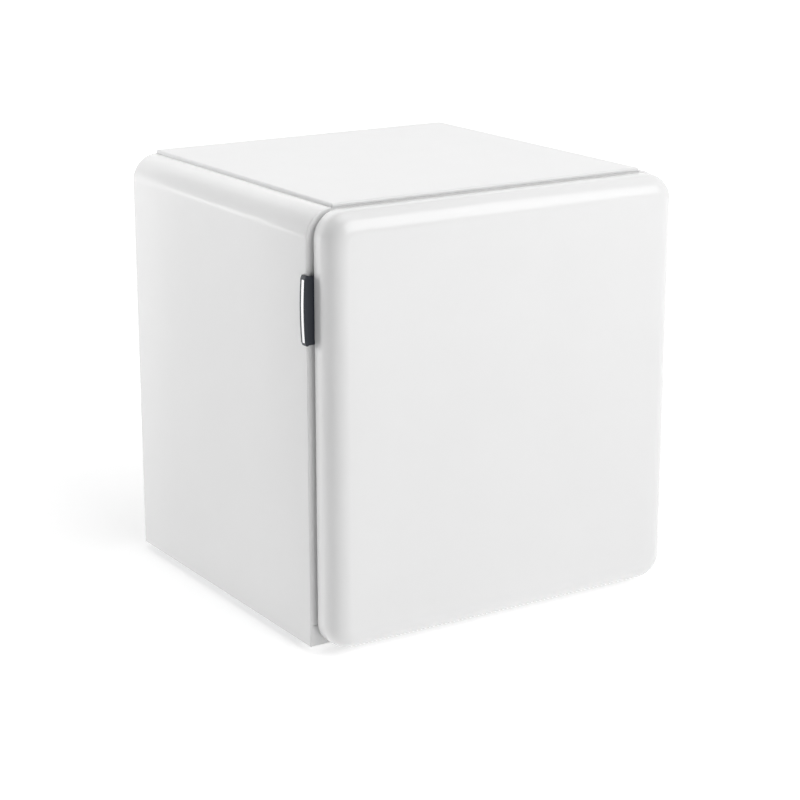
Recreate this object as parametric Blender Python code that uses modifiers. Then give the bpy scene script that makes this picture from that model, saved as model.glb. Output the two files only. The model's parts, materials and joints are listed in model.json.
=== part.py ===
"""Cube bar fridge with a pillow-shaped door, built as an assembly of separate parts.

Everything is written in the cabinet's own frame: x = 0 is the middle, y = 0 the cabinet's
front flange, z = 0 the cabinet's bottom edge, +y points to the back. An empty places that
frame so that the whole object stands on z = 0, centred on the origin.
"""
import math

import bmesh
import bpy
from mathutils import Matrix, Vector

# Cabinet
CABINET_WIDTH = 0.466
CABINET_DEPTH = 0.404
SHOULDER_HEIGHT = 0.480
SHOULDER_RADIUS = 0.031
TOP_STEP = 0.004
TOP_SKIRT = 0.010
TOP_EDGE_RADIUS = 0.0025
TOP_WALL = 0.0015
TOP_CORNER = 0.002
SHEET = 0.001
BEND = 0.0005
FLANGE_WIDTH = 0.036
REAR_RETURN = 0.010
KICK_HEIGHT = 0.024
KICK_DEPTH = 0.030
KICK_SHEET = 0.0015
REAR_RECESS = 0.024
TOP_RAIL_HEIGHT = 0.0297
BOTTOM_RAIL_TOP = 0.048
RAIL_LIP = 0.016

# Food compartment
SIDE_INSULATION = 0.043
BACK_INSULATION = 0.045
TOP_INSULATION = 0.044
CAVITY_FLOOR = 0.050
CAVITY_CORNER = 0.012
LINER_WALL = 0.0015
LINER_FLANGE_WIDTH = 0.035
LINER_FLANGE_BELOW = 0.020
LINER_FLANGE_ABOVE = 0.029
LINER_FLANGE_CORNER = 0.008
STEP_DEPTH = 0.100
STEP_TOP = 0.198
STEP_CORNER = 0.006
LEDGE_SIZE = 0.006
LEDGE_LENGTH = 0.255
LEDGE_BACK_GAP = 0.008
LEDGE_HEIGHTS = (0.150, 0.224, 0.268)

# Machine bay at the lower back
BAY_DEPTH = 0.130
BAY_HEIGHT = 0.160
PLATE_THICKNESS = 0.002
PAN_LIFT = 0.0018

# Door
DOOR_INSET = 0.006
DOOR_GAP = 0.005
DOOR_FLANK = 0.012
DOOR_EDGE_RADIUS = 0.023
DOOR_CORNER_RADIUS = 0.030
DOOR_BOTTOM = 0.0
DOOR_DROP = 0.0005
DOOR_LIP = 0.008
LINER_LIP_INSET = 0.0016
SEAL_INSET = 0.0118
SEAL_WIDTH = 0.016
SEAL_DEPTH = 0.007
SEAL_BOTTOM = 0.0263
SEAL_FOOT = 0.0025
SEAL_HEAD = 0.0042
SEAL_BELLOWS_INSET = 0.0045
SEAL_HEAD_INSET = 0.001
DYKE_WIDTH = 0.014
DYKE_REACH = 0.014
DYKE_SIDE_CLEARANCE = 0.009
DYKE_END_CLEARANCE = 0.010
DYKE_CORNER = 0.018
POCKET_DEPTH = 0.010

# Hinge and handle
HINGE_INSET = 0.0115
HINGE_DEPTH = 0.020
HINGE_PLATE = 0.003
HINGE_EYE_RADIUS = 0.006
HINGE_NECK = 0.0077
HINGE_ANCHOR = 0.026
HINGE_LEVEL = 0.033
HINGE_TAIL = 0.015
HINGE_SWING = 0.014
PIN_RADIUS = 0.003
PIN_LENGTH = 0.012
PIN_HEAD_RADIUS = 0.0045
PIN_HEAD = 0.002
BUSH_HEIGHT = 0.014
BUSH_HALF_DEPTH = 0.0058
SLOT_CLEARANCE = 0.0015
GRIP_DROP = 0.105
GRIP_HEIGHT = 0.075
GRIP_REACH = 0.007
GRIP_BOW = 0.0012
GRIP_THICKNESS = 0.0092
GRIP_FOOT = 0.014
GRIP_TRIM = 0.0012
GRIP_TRIM_DEPTH = 0.004
GRIP_CHAMFER = 0.004
GRIP_STANDOFF = 0.0006

# Door storage
BIN_WALL = 0.002
BIN_REACH = 0.058
BIN_CORNER = 0.010
BIN_FLOOR_RADIUS = 0.004
UPPER_BIN_FLOOR = 0.236
UPPER_BIN_HEIGHT = 0.052
LOWER_BIN_FLOOR = 0.078
LOWER_BIN_HEIGHT = 0.066
BOTTLE_RAIL_RADIUS = 0.0025
BOTTLE_RAIL_LIFT = 0.030
BOTTLE_RAIL_END = 0.004
BOTTLE_RAIL_BACK = 0.012
BOTTLE_RAIL_BEND = 0.0035

# Ice box
ICE_HEIGHT = 0.095
ICE_FRONT_ROOM = 0.124
ICE_WALL = 0.002
ICE_SIDE_GAP = 0.010
ICE_TOP_GAP = 0.004
ICE_BACK_GAP = 0.006
HANGER_RADIUS = 0.005
HANGER_INSET_X = 0.030
HANGER_INSET_Y = 0.035
BEZEL_WIDTH = 0.010
BEZEL_DEPTH = 0.008
FLAP_THICKNESS = 0.0045
FLAP_CLEARANCE = 0.0012
FLAP_PIN_RADIUS = 0.0022
FLAP_PIN_DROP = 0.007
FLAP_EAR = 0.004
FLAP_PULL_REACH = 0.007
FLAP_PULL_HALF = 0.040
TRAY_HEIGHT = 0.020
TRAY_WALL = 0.0015
TRAY_LIP = 0.005
TRAY_TRAVEL = 0.090
TRAY_FRONT_OVERHANG = 0.002
TRAY_BACK_GAP = 0.008
TRAY_LIP_FRONT = 0.012
TRAY_LIP_BACK = 0.010
TRAY_TOOTH = 0.0015
TRAY_TOOTH_LENGTH = 0.006
TRAY_TOOTH_TOP = 0.005
TRAY_TOOTH_HEIGHT = 0.004
TRAY_PULL_REACH = 0.008
TRAY_PULL_HALF = 0.035
RUNNER_WALL = 0.0015
RUNNER_INSET = 0.004
RUNNER_STOP_BACK = 0.010
RUNNER_STOP_DROP = 0.008
RUNNER_STOP_GAP = 0.0004

# Thermostat
DIAL_RADIUS = 0.017
DIAL_DEPTH = 0.013
DIAL_SHAFT = 0.003
STAT_GAP = 0.010
STAT_WIDTH = 0.066
STAT_HEIGHT = 0.058
STAT_DEPTH = 0.120
STAT_SLOPE = 0.012
STAT_FRONT_RADIUS = 0.010
STAT_CHIN_RADIUS = 0.006
DIAL_RISE = 0.026
DIAL_SOCKET = 0.012
DIAL_SHAFT_LENGTH = 0.010
DIAL_RIDGE_HALF = 0.002
DIAL_RIDGE_REACH = 0.014

# Shelf
SHELF_GLASS = 0.004
SHELF_FRONT = 0.072
SHELF_LEDGE = 1
SHELF_TRIM = 0.010
SHELF_SIDE_GAP = 0.0015
SHELF_BACK_GAP = 0.006
SHELF_CORNER = 0.004
SHELF_TRIM_WALL = 0.0015
SHELF_TRIM_TUCK = 0.006
SHELF_TRIM_DROP = 0.004

# Compressor and refrigerant circuit
COMPRESSOR_X = -0.060
COMPRESSOR_RADIUS = 0.050
COMPRESSOR_STRETCH = 1.28
COMPRESSOR_HEIGHT = 0.112
COMPRESSOR_LIFT = 0.011
COMPRESSOR_FLANGE = 0.003
COMPRESSOR_FLANGE_HALF = 0.002
COMPRESSOR_SEAM = 0.05824
COMPRESSOR_DOME = 0.034
COMPRESSOR_BOWL = 0.020
COMPRESSOR_INSET = 0.0624
FOOT_PLATE = 0.0025
FOOT_PLATE_MARGIN_X = 0.015
FOOT_PLATE_MARGIN_Y = 0.013
FOOT_PLATE_CORNER = 0.014
GROMMET_SPAN_X = 0.150
GROMMET_SPAN_Y = 0.080
GROMMET_RADIUS = 0.010
GROMMET_BORE = 0.0035
GROMMET_WAIST = 0.0072
GROMMET_TOP_RADIUS = 0.009
GROMMET_TOP = 0.005
PLATE_UPSTAND = 0.018
RELAY_DEPTH = 0.026
RELAY_HALF_WIDTH = 0.024
RELAY_LIFT = 0.030
RELAY_HEIGHT = 0.062
RELAY_ROUNDING = 0.004
CORD_ENTRY_RADIUS = 0.0045
CORD_ENTRY_DEPTH = 0.010
CORD_ENTRY_SIDE = 0.010
CORD_ENTRY_RISE = 0.012
EVAPORATION_HALF_X = 0.050
EVAPORATION_HALF_Y = 0.042
EVAPORATION_HEIGHT = 0.014
EVAPORATION_WALL = 0.0015
PIPE_RADIUS = 0.003
CAPILLARY_RADIUS = 0.001
SUCTION_X = 0.088
SUCTION_DROP = 0.037
SUCTION_RISE = 0.0336
PIPE_BEND = 0.006
DISCHARGE_RISE = 0.030
DISCHARGE_REACH = 0.020
DISCHARGE_BEND = 0.008
COLLECTOR_HEIGHT = 0.026
DRIER_RADIUS = 0.008
DRIER_LENGTH = 0.070
DRIER_NECK = 0.006
DRIER_CONE = 0.014
DRIER_TAIL_RADIUS = 0.0022
CAPILLARY_DROP = 0.014
COIL_TUBE = 0.0024
COIL_RUNS = 10
COIL_SIDE_ROOM = 0.045
COIL_DROP = 0.034
COIL_RISE = 0.034
COIL_BACKSET = 0.0125
COIL_WIRE = 0.0009
COIL_WIRES = 13
COIL_WIRE_ROOM = 0.060
COIL_WIRE_REACH = 0.008
COIL_TAIL_OUT = 0.018
COIL_TAIL_IN = 0.020
COIL_TAIL_DROP = 0.010
CLIP_INSET = 0.020
CLIP_HALF_WIDTH = 0.006
CLIP_HALF_HEIGHT = 0.007
DRAIN_RADIUS = 0.006
DRAIN_BORE = 0.004
DRAIN_BACKSET = 0.020
DRAIN_DROP = 0.012

# Feet
FOOT_HEIGHT = 0.008
FOOT_RADIUS = 0.016
FOOT_SIDE = 0.040
FOOT_FRONT = 0.048
STUD_RADIUS = 0.004
STUD_TOP = 0.016
NUT_RADIUS = 0.0085
NUT_TOP = 0.010
REAR_FOOT_RADIUS = 0.012
REAR_FOOT_BACK = 0.022
FOOT_BEVEL = 0.001
FOOT_SHOULDER = 0.003
PLUG_RADIUS = 0.005
PLUG_RISE = 0.004

# Shared clearances
GAP = 0.0003
RUNNING = 0.0006

# Longer than the whole object, for cutters
FAR = 1.0

# Values worked out from the sizes above
HALF = CABINET_WIDTH / 2
SEAM = HALF - SHOULDER_RADIUS
PANEL_TOP = SHOULDER_HEIGHT + TOP_STEP
SKIRT_BOTTOM = PANEL_TOP - TOP_SKIRT
BACK_PLANE = CABINET_DEPTH - REAR_RECESS
BAY_FRONT = CABINET_DEPTH - BAY_DEPTH
CAVITY_HALF = HALF - SIDE_INSULATION
CAVITY_DEPTH = BACK_PLANE - BACK_INSULATION
CAVITY_CEILING = SHOULDER_HEIGHT - TOP_INSULATION
STEP_FRONT = CAVITY_DEPTH - STEP_DEPTH
DOOR_HALF = HALF - DOOR_INSET
DOOR_TOP = SHOULDER_HEIGHT - DOOR_DROP
DOOR_BACK = -DOOR_GAP
DOOR_FRONT = DOOR_BACK - DOOR_FLANK - DOOR_EDGE_RADIUS
SEAL_FLOOR = DOOR_BACK - SEAL_DEPTH
DYKE_OUTER = CAVITY_HALF - DYKE_SIDE_CLEARANCE
DYKE_INNER = DYKE_OUTER - DYKE_WIDTH
DYKE_LOW = CAVITY_FLOOR + DYKE_END_CLEARANCE
DYKE_HIGH = CAVITY_CEILING - DYKE_END_CLEARANCE
POCKET_FLOOR = DOOR_BACK - POCKET_DEPTH
HINGE_X = DOOR_HALF - HINGE_INSET
HINGE_Y = -HINGE_DEPTH
GRIP_TIP = -(HALF + GRIP_REACH)
ICE_LEFT = -CAVITY_HALF + ICE_SIDE_GAP
ICE_RIGHT = CAVITY_HALF - 2 * STAT_GAP - STAT_WIDTH
ICE_TOP = CAVITY_CEILING - ICE_TOP_GAP
ICE_BOTTOM = ICE_TOP - ICE_HEIGHT
ICE_BACK = CAVITY_DEPTH - ICE_BACK_GAP
ICE_FRONT = ICE_FRONT_ROOM
ICE_MIDDLE = (ICE_LEFT + ICE_RIGHT) / 2
SUCTION_EXIT = ICE_TOP - SUCTION_DROP
COIL_WIDTH = 2 * (HALF - COIL_SIDE_ROOM)
COIL_TOP = SHOULDER_HEIGHT - COIL_DROP
COIL_PITCH = (COIL_TOP - BAY_HEIGHT - COIL_RISE) / (COIL_RUNS - 1)
GRIP_CENTRE = SHOULDER_HEIGHT - GRIP_DROP
PAN_TOP = PAN_LIFT + SHEET
BAY_FLOOR = PAN_LIFT + PLATE_THICKNESS
FOAM_TOP = SKIRT_BOTTOM - GAP
ORIGIN = Vector(((HALF + GRIP_TIP) / -2, (DOOR_FRONT + CABINET_DEPTH) / -2, FOOT_HEIGHT))

for old in list(bpy.data.objects):
    bpy.data.objects.remove(old, do_unlink=True)

parts = bpy.data.collections.new("bar_fridge")
cutters = bpy.data.collections.new("cutters")
bpy.context.scene.collection.children.link(parts)
bpy.context.scene.collection.children.link(cutters)


def finish(name, colour, roughness, metallic=0.0):
    """A Principled material."""
    material = bpy.data.materials.new(name)
    material.use_nodes = True
    shader = material.node_tree.nodes["Principled BSDF"]
    shader.inputs["Base Color"].default_value = (*colour, 1.0)
    shader.inputs["Roughness"].default_value = roughness
    shader.inputs["Metallic"].default_value = metallic
    return material


ENAMEL = finish("white_enamel", (0.86, 0.86, 0.86), 0.18)
LAMINATE = finish("white_top_panel", (0.88, 0.88, 0.88), 0.3)
LINER_WHITE = finish("white_liner", (0.84, 0.85, 0.86), 0.35)
FOAM = finish("insulation_foam", (0.80, 0.70, 0.48), 0.9)
SEAL_GREY = finish("seal_grey", (0.42, 0.43, 0.44), 0.7)
NAVY = finish("navy_grip", (0.035, 0.041, 0.055), 0.35)
CHROME = finish("chrome_trim", (0.80, 0.80, 0.81), 0.1, 1.0)
ZINC = finish("zinc_plate", (0.55, 0.56, 0.57), 0.4, 0.9)
ALUMINIUM = finish("rolled_aluminium", (0.72, 0.73, 0.74), 0.35, 0.9)
CLEAR = finish("clear_bin", (0.82, 0.88, 0.90), 0.1)
GLASS = finish("shelf_glass", (0.62, 0.74, 0.70), 0.05)
BLACK = finish("black_enamel", (0.02, 0.02, 0.022), 0.4, 0.3)
RUBBER = finish("black_rubber", (0.03, 0.03, 0.03), 0.85)
COPPER = finish("copper", (0.72, 0.38, 0.24), 0.3, 1.0)
GREY_PLASTIC = finish("grey_plastic", (0.45, 0.46, 0.47), 0.55)
NYLON = finish("white_nylon", (0.78, 0.78, 0.76), 0.5)

root = bpy.data.objects.new("bar_fridge_frame", None)
root.location = ORIGIN
parts.objects.link(root)


def pivot(name, x, y, z):
    """An empty on a joint's axis."""
    empty = bpy.data.objects.new(name, None)
    empty.parent = root
    empty.location = (x, y, z)
    parts.objects.link(empty)
    return empty


def carry(empty, *pieces):
    """Hangs pieces and their cutters on a joint's empty, which leaves them where they are."""
    for piece in pieces:
        helpers = [m.object for m in piece.modifiers if m.type == "BOOLEAN"]
        for thing in [piece, *helpers]:
            if thing.parent is root:
                thing.parent = empty
                thing.location = thing.location - empty.location


def place(name, mesh, at=(0.0, 0.0, 0.0), turn=None, material=None):
    """A new object in the cabinet's frame: a part if it has a material, or else a cutter."""
    thing = bpy.data.objects.new(name, mesh)
    thing.parent = root
    thing.location = at
    if turn is not None:
        thing.rotation_euler = turn.to_euler()
    if material is None:
        cutters.objects.link(thing)
        thing.hide_render = True
        thing.display_type = "WIRE"
    else:
        parts.objects.link(thing)
        mesh.materials.append(material)
    return thing


def box(name, low, high, material=None, round_by=0.0, segments=2):
    """A block between two corners, with rounded edges if asked."""
    size = Vector(high) - Vector(low)
    bm = bmesh.new()
    bmesh.ops.create_cube(bm, size=1.0, matrix=Matrix.Diagonal((*size, 1.0)))
    mesh = bpy.data.meshes.new(name)
    bm.to_mesh(mesh)
    bm.free()
    thing = place(name, mesh, (Vector(low) + Vector(high)) / 2, None, material)
    if round_by:
        edge = thing.modifiers.new("rounding", "BEVEL")
        edge.width = round_by
        edge.segments = segments
    return thing


def arc(centre, radius, start, end, steps):
    """Points on an arc, angles in degrees."""
    angles = [math.radians(start + (end - start) * i / steps) for i in range(steps + 1)]
    return [(centre[0] + radius * math.cos(a), centre[1] + radius * math.sin(a)) for a in angles]


def rounded(corners, radius, steps=4):
    """A polygon whose corners are arcs; corners is a list of (x, y) or (x, y, own radius)."""
    outline = []
    count = len(corners)
    for i, corner in enumerate(corners):
        here = Vector(corner[:2])
        size = corner[2] if len(corner) > 2 else radius
        before = (Vector(corners[i - 1][:2]) - here).normalized()
        after = (Vector(corners[(i + 1) % count][:2]) - here).normalized()
        if size <= 0.0:
            outline.append(tuple(here))
            continue
        half = before.angle(after) / 2
        centre = here + (before + after).normalized() * (size / math.sin(half))
        first = here + before * (size / math.tan(half)) - centre
        last = here + after * (size / math.tan(half)) - centre
        sweep = math.atan2(first.cross(last), first.dot(last))
        start = math.atan2(first.y, first.x)
        outline += arc(centre, size, math.degrees(start), math.degrees(start + sweep), steps)
    return outline


def rectangle(left, bottom, right, top, radius=0.0, steps=4):
    """A rectangle's outline with round corners."""
    return rounded([(left, bottom), (right, bottom), (right, top), (left, top)], radius, steps)


TURN_X = Matrix(((0, 0, 1), (1, 0, 0), (0, 1, 0)))
TURN_Y = Matrix(((1, 0, 0), (0, 0, -1), (0, 1, 0)))
TURN_Z = Matrix.Identity(3)


def plate(name, outlines, axis, low, high, material=None):
    """A flat outline, with any holes after it, extruded from low to high along an axis.

    The outline is in (y, z) for axis x, (x, z) for axis y and (x, y) for axis z.
    """
    curve = bpy.data.curves.new(name, "CURVE")
    curve.dimensions = "2D"
    curve.fill_mode = "BOTH"
    curve.extrude = (high - low) / 2
    for outline in outlines:
        spline = curve.splines.new("POLY")
        spline.points.add(len(outline) - 1)
        for point, (u, v) in zip(spline.points, outline):
            point.co = (u, v, 0.0, 1.0)
        spline.use_cyclic_u = True
    middle = (low + high) / 2
    at = {"x": (middle, 0, 0), "y": (0, middle, 0), "z": (0, 0, middle)}[axis]
    turn = {"x": TURN_X, "y": TURN_Y, "z": TURN_Z}[axis]
    return place(name, solid_of(curve), at, turn, material)


def solid_of(curve):
    """A curve's mesh with its caps welded on, as one closed body."""
    rough = bpy.data.objects.new("curve_to_mesh", curve)
    bpy.context.scene.collection.objects.link(rough)
    graph = bpy.context.evaluated_depsgraph_get()
    mesh = bpy.data.meshes.new_from_object(rough.evaluated_get(graph))
    mesh.name = curve.name
    bpy.data.objects.remove(rough, do_unlink=True)
    bm = bmesh.new()
    bm.from_mesh(mesh)
    bmesh.ops.remove_doubles(bm, verts=bm.verts, dist=0.00001)
    bmesh.ops.recalc_face_normals(bm, faces=bm.faces)
    bm.to_mesh(mesh)
    bm.free()
    return mesh


def bent(points, radius, steps=3):
    """A 3-D path whose inner points are rounded to arcs of one radius."""
    path = [Vector(points[0])]
    for before, here, after in zip(points, points[1:], points[2:]):
        here = Vector(here)
        inward = (Vector(before) - here).normalized()
        outward = (Vector(after) - here).normalized()
        half = inward.angle(outward) / 2
        centre = here + (inward + outward).normalized() * (radius / math.sin(half))
        first = here + inward * (radius / math.tan(half)) - centre
        last = here + outward * (radius / math.tan(half)) - centre
        for i in range(steps + 1):
            path.append(centre + first.slerp(last, i / steps) * radius)
    path.append(Vector(points[-1]))
    return path


def tube(name, path, radius, material=None, resolution=2):
    """A round tube or wire along a path, with flat ends."""
    curve = bpy.data.curves.new(name, "CURVE")
    curve.dimensions = "3D"
    curve.bevel_depth = radius
    curve.bevel_resolution = resolution
    curve.use_fill_caps = True
    spline = curve.splines.new("POLY")
    spline.points.add(len(path) - 1)
    for point, co in zip(spline.points, path):
        point.co = (*co, 1.0)
    return place(name, solid_of(curve), material=material)


def turned(name, profile, at, material=None, steps=20, turn=None):
    """A turned piece: a profile of (radius, height), top to bottom, round the local z axis.

    A profile that starts and ends on the axis is solid; one that returns to its first
    point is a ring.
    """
    mesh = bpy.data.meshes.new(name)
    closed = profile[0] == profile[-1]
    points = profile[:-1] if closed else profile
    edges = [(i, i + 1) for i in range(len(points) - 1)]
    if closed:
        edges.append((len(points) - 1, 0))
    mesh.from_pydata([(r, 0.0, z) for r, z in points], edges, [])
    thing = place(name, mesh, at, turn, material)
    screw = thing.modifiers.new("turning", "SCREW")
    screw.steps = steps
    screw.render_steps = steps
    screw.use_merge_vertices = True
    screw.merge_threshold = 0.00001
    screw.use_smooth_shade = True
    return thing


def open_pan(name, low, high, wall, open_side, material, corner, floor_radius=0.0):
    """A thin-walled pan: a box with one open side, round corners and even walls."""
    size = Vector(high) - Vector(low)
    bm = bmesh.new()
    bmesh.ops.create_cube(bm, size=1.0, matrix=Matrix.Diagonal((*size, 1.0)))
    direction = Vector({"+z": (0, 0, 1), "-z": (0, 0, -1), "+y": (0, 1, 0)}[open_side])
    along = [(e, (e.verts[0].co - e.verts[1].co).normalized()) for e in bm.edges]
    upright = [e for e, run in along if abs(run.dot(direction)) > 0.9]
    bmesh.ops.bevel(bm, geom=upright, offset=corner, segments=4, profile=0.5, affect="EDGES")
    bm.normal_update()
    if floor_radius:
        floor = [f for f in bm.faces if f.normal.dot(direction) < -0.9]
        rim = [e for e in floor[0].edges]
        bmesh.ops.bevel(bm, geom=rim, offset=floor_radius, segments=3, profile=0.5, affect="EDGES")
        bm.normal_update()
    lid = [f for f in bm.faces if f.normal.dot(direction) > 0.9]
    bmesh.ops.delete(bm, geom=lid, context="FACES_ONLY")
    mesh = bpy.data.meshes.new(name)
    bm.to_mesh(mesh)
    bm.free()
    thing = place(name, mesh, (Vector(low) + Vector(high)) / 2, None, material)
    shell = thing.modifiers.new("wall", "SOLIDIFY")
    shell.thickness = wall
    shell.offset = -1.0
    shell.use_even_offset = True
    return thing


def combine(target, other, operation):
    """A Boolean on target; other is kept as a hidden cutter."""
    step = target.modifiers.new(other.name, "BOOLEAN")
    step.object = other
    step.operation = operation
    step.solver = "EXACT"
    return target


def cut(target, *others):
    for other in others:
        combine(target, other, "DIFFERENCE")
    return target


def join(target, *others):
    for other in others:
        combine(target, other, "UNION")
    return target


def smooth(*pieces):
    """Smooth shading with sharp edges kept."""
    for piece in pieces:
        piece.data.shade_smooth()
        piece.data.set_sharp_from_angle(angle=math.radians(35))


# Cabinet shell


def shoulder_line(inset, bottom, top=None):
    """The left side's outline from its bottom, up and over the shoulder to the seam.

    inset moves it inwards; top, if given, ends the arc early at that height.
    """
    radius = SHOULDER_RADIUS - inset
    centre = (-SEAM, SHOULDER_HEIGHT - SHOULDER_RADIUS)
    end = 90.0
    if top is not None:
        end = math.degrees(math.asin((top - centre[1]) / radius))
    return [(-HALF + inset, bottom), *arc(centre, radius, 180.0, 180.0 - end, 8)]


def mirrored(outline, side):
    """The outline itself for the left side, or its mirror image for the right side."""
    return [(-side * x, z) for x, z in outline]


def side_panel(name, side):
    """Pressed side: flat sheet, rolled shoulder, seam flange, front and rear returns."""
    flange_top = SHOULDER_HEIGHT - TOP_RAIL_HEIGHT - 2 * GAP
    reach = -HALF + FLANGE_WIDTH
    block = shoulder_line(0.0, 0.0) + [(-SEAM, flange_top), (reach, flange_top), (reach, 0.0)]
    panel = plate(name, [mirrored(block, side)], "y", 0.0, CABINET_DEPTH, ENAMEL)
    radius = SHOULDER_RADIUS - SHEET
    end = math.degrees(math.acos(-SHEET / radius))
    bend = arc((-SEAM, SHOULDER_HEIGHT - SHOULDER_RADIUS), radius, 180.0, end, 8)
    inside = [(-HALF + SHEET, -0.01), *bend]
    inside += [(-SEAM - SHEET, SKIRT_BOTTOM), (0.0, SKIRT_BOTTOM), (0.0, -0.01)]
    kick = rectangle(-HALF + SHEET + BEND, -0.01, 0.0, KICK_HEIGHT + GAP)
    rear = shoulder_line(REAR_RETURN, -0.01) + [(0.0, SHOULDER_HEIGHT - REAR_RETURN), (0.0, -0.01)]
    hollow = plate(name + "_inside", [mirrored(inside, side)], "y", SHEET, CABINET_DEPTH - SHEET)
    toe = plate(name + "_toe", [mirrored(kick, side)], "y", -0.01, 0.01)
    opening = plate(name + "_rear", [mirrored(rear, side)], "y", CABINET_DEPTH - 0.01, CABINET_DEPTH + 0.01)
    return cut(panel, hollow, toe, opening)


def top_panel():
    """Flat panel between the shoulders, a step proud of them, with a skirt below."""
    low = (-SEAM + GAP, 0.0, SKIRT_BOTTOM)
    high = (SEAM - GAP, CABINET_DEPTH, PANEL_TOP)
    panel = open_pan("top_panel", low, high, TOP_WALL, "-z", LAMINATE, TOP_CORNER, TOP_EDGE_RADIUS)
    notch = box("top_panel_front_notch", (-FAR, -FAR, -FAR), (FAR, RAIL_LIP + 0.001, SHOULDER_HEIGHT))
    return cut(panel, notch)


def top_rail():
    """Steel rail under the top panel's front edge, with a lip bent back."""
    top = SHOULDER_HEIGHT - GAP
    low = top - TOP_RAIL_HEIGHT
    profile = [(0.0, low), (SHEET, low), (SHEET, top - SHEET)]
    profile += [(RAIL_LIP, top - SHEET), (RAIL_LIP, top), (0.0, top)]
    return plate("front_top_rail", [profile], "x", -SEAM + GAP, SEAM - GAP, ENAMEL)


def bottom_rail():
    """Steel rail across the front below the food compartment."""
    reach = HALF - FLANGE_WIDTH - GAP
    low = KICK_HEIGHT + GAP
    profile = [(0.0, low), (RAIL_LIP, low), (RAIL_LIP, low + SHEET), (SHEET, low + SHEET)]
    profile += [(SHEET, BOTTOM_RAIL_TOP), (0.0, BOTTOM_RAIL_TOP)]
    return plate("front_bottom_rail", [profile], "x", -reach, reach, ENAMEL)


def kick_plate():
    """Toe plate at the foot of the front, bent back under the base."""
    reach = HALF - SHEET - BEND - GAP
    profile = [(0.0, 0.0), (KICK_DEPTH, 0.0), (KICK_DEPTH, KICK_SHEET), (KICK_SHEET, KICK_SHEET)]
    profile += [(KICK_SHEET, KICK_HEIGHT), (0.0, KICK_HEIGHT)]
    return plate("kick_plate", [profile], "x", -reach, reach, ENAMEL)


def base_pan():
    """One bent sheet: base, riser and roof of the machine bay, with nuts for the feet."""
    front = KICK_SHEET + GAP
    roof = BAY_HEIGHT + SHEET
    riser = BAY_FRONT - SHEET
    profile = [(front, PAN_LIFT), (BAY_FRONT, PAN_LIFT), (BAY_FRONT, BAY_HEIGHT), (BACK_PLANE, BAY_HEIGHT)]
    profile += [(BACK_PLANE, roof), (riser, roof), (riser, PAN_TOP), (front, PAN_TOP)]
    reach = HALF - SHEET - GAP
    pan = plate("base_pan", [profile], "x", -reach, reach, ZINC)
    for side in (-1, 1):
        centre = (side * (HALF - FOOT_SIDE), FOOT_FRONT)
        hexagon = arc(centre, NUT_RADIUS, 0.0, 300.0, 5)
        join(pan, plate("foot_nut", [hexagon], "z", PAN_LIFT + 0.0002, NUT_TOP))
        cut(pan, round_hole("foot_hole", centre, STUD_RADIUS + GAP, -0.01, NUT_TOP + 0.01))
    low, high = BAY_HEIGHT - 0.05, BAY_HEIGHT + 0.05
    cut(pan, round_hole("suction_hole", (SUCTION_X, pipe_plane()), PIPE_RADIUS + RUNNING, low, high))
    bore = CAPILLARY_RADIUS + RUNNING
    cut(pan, round_hole("capillary_hole", (capillary_x(), pipe_plane()), bore, low, high))
    cut(pan, round_hole("drain_hole", drain_place(), DRAIN_RADIUS + GAP, low, high))
    return pan


def round_hole(name, centre, radius, low, high, sides=16):
    """A cutter for an upright round hole."""
    return plate(name, [arc(centre, radius, 0.0, 360.0 - 360.0 / sides, sides - 1)], "z", low, high)


def pipe_plane():
    """Where the pipes run up through the insulation, midway behind the food compartment."""
    return (CAVITY_DEPTH + LINER_WALL + BACK_PLANE - SHEET) / 2


def capillary_x():
    return SUCTION_X + PIPE_RADIUS + CAPILLARY_RADIUS + GAP


def drain_place():
    return (COMPRESSOR_X, (STEP_FRONT + CAVITY_DEPTH) / 2 + DRAIN_BACKSET)


def inner_outline(inset, low):
    """The cabinet's section inside the side panels, flat under the top panel's skirt."""
    left = shoulder_line(inset, low, FOAM_TOP)
    right = [(-x, z) for x, z in reversed(left)]
    return left + right


def back_panel():
    """Rear sheet over the insulation, above the machine bay."""
    outline = inner_outline(SHEET + GAP, BAY_HEIGHT + SHEET + GAP)
    panel = plate("back_panel", [outline], "y", BACK_PLANE - SHEET, BACK_PLANE, ZINC)
    return panel


def side_profile(grow):
    """The food compartment's side section, with the step over the machine bay."""
    low, high = CAVITY_FLOOR - grow, CAVITY_CEILING + grow
    back, step = CAVITY_DEPTH + grow, STEP_FRONT + grow
    radius = CAVITY_CORNER + grow
    corners = [(0.0, low, 0.0), (step, low, STEP_CORNER + grow)]
    corners += [(step, STEP_TOP - grow, CAVITY_CORNER - grow)]
    corners += [(back, STEP_TOP - grow, STEP_CORNER + grow), (back, high), (0.0, high, 0.0)]
    return rounded(corners, radius, 3)


def cavity(name, grow, front):
    """The food compartment as a block, to be added or cut; front is where it ends."""
    outline = [(front if y == 0.0 else y, z) for y, z in side_profile(grow)]
    block = plate(name, [outline], "x", -CAVITY_HALF - grow, CAVITY_HALF + grow)
    return block


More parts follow.
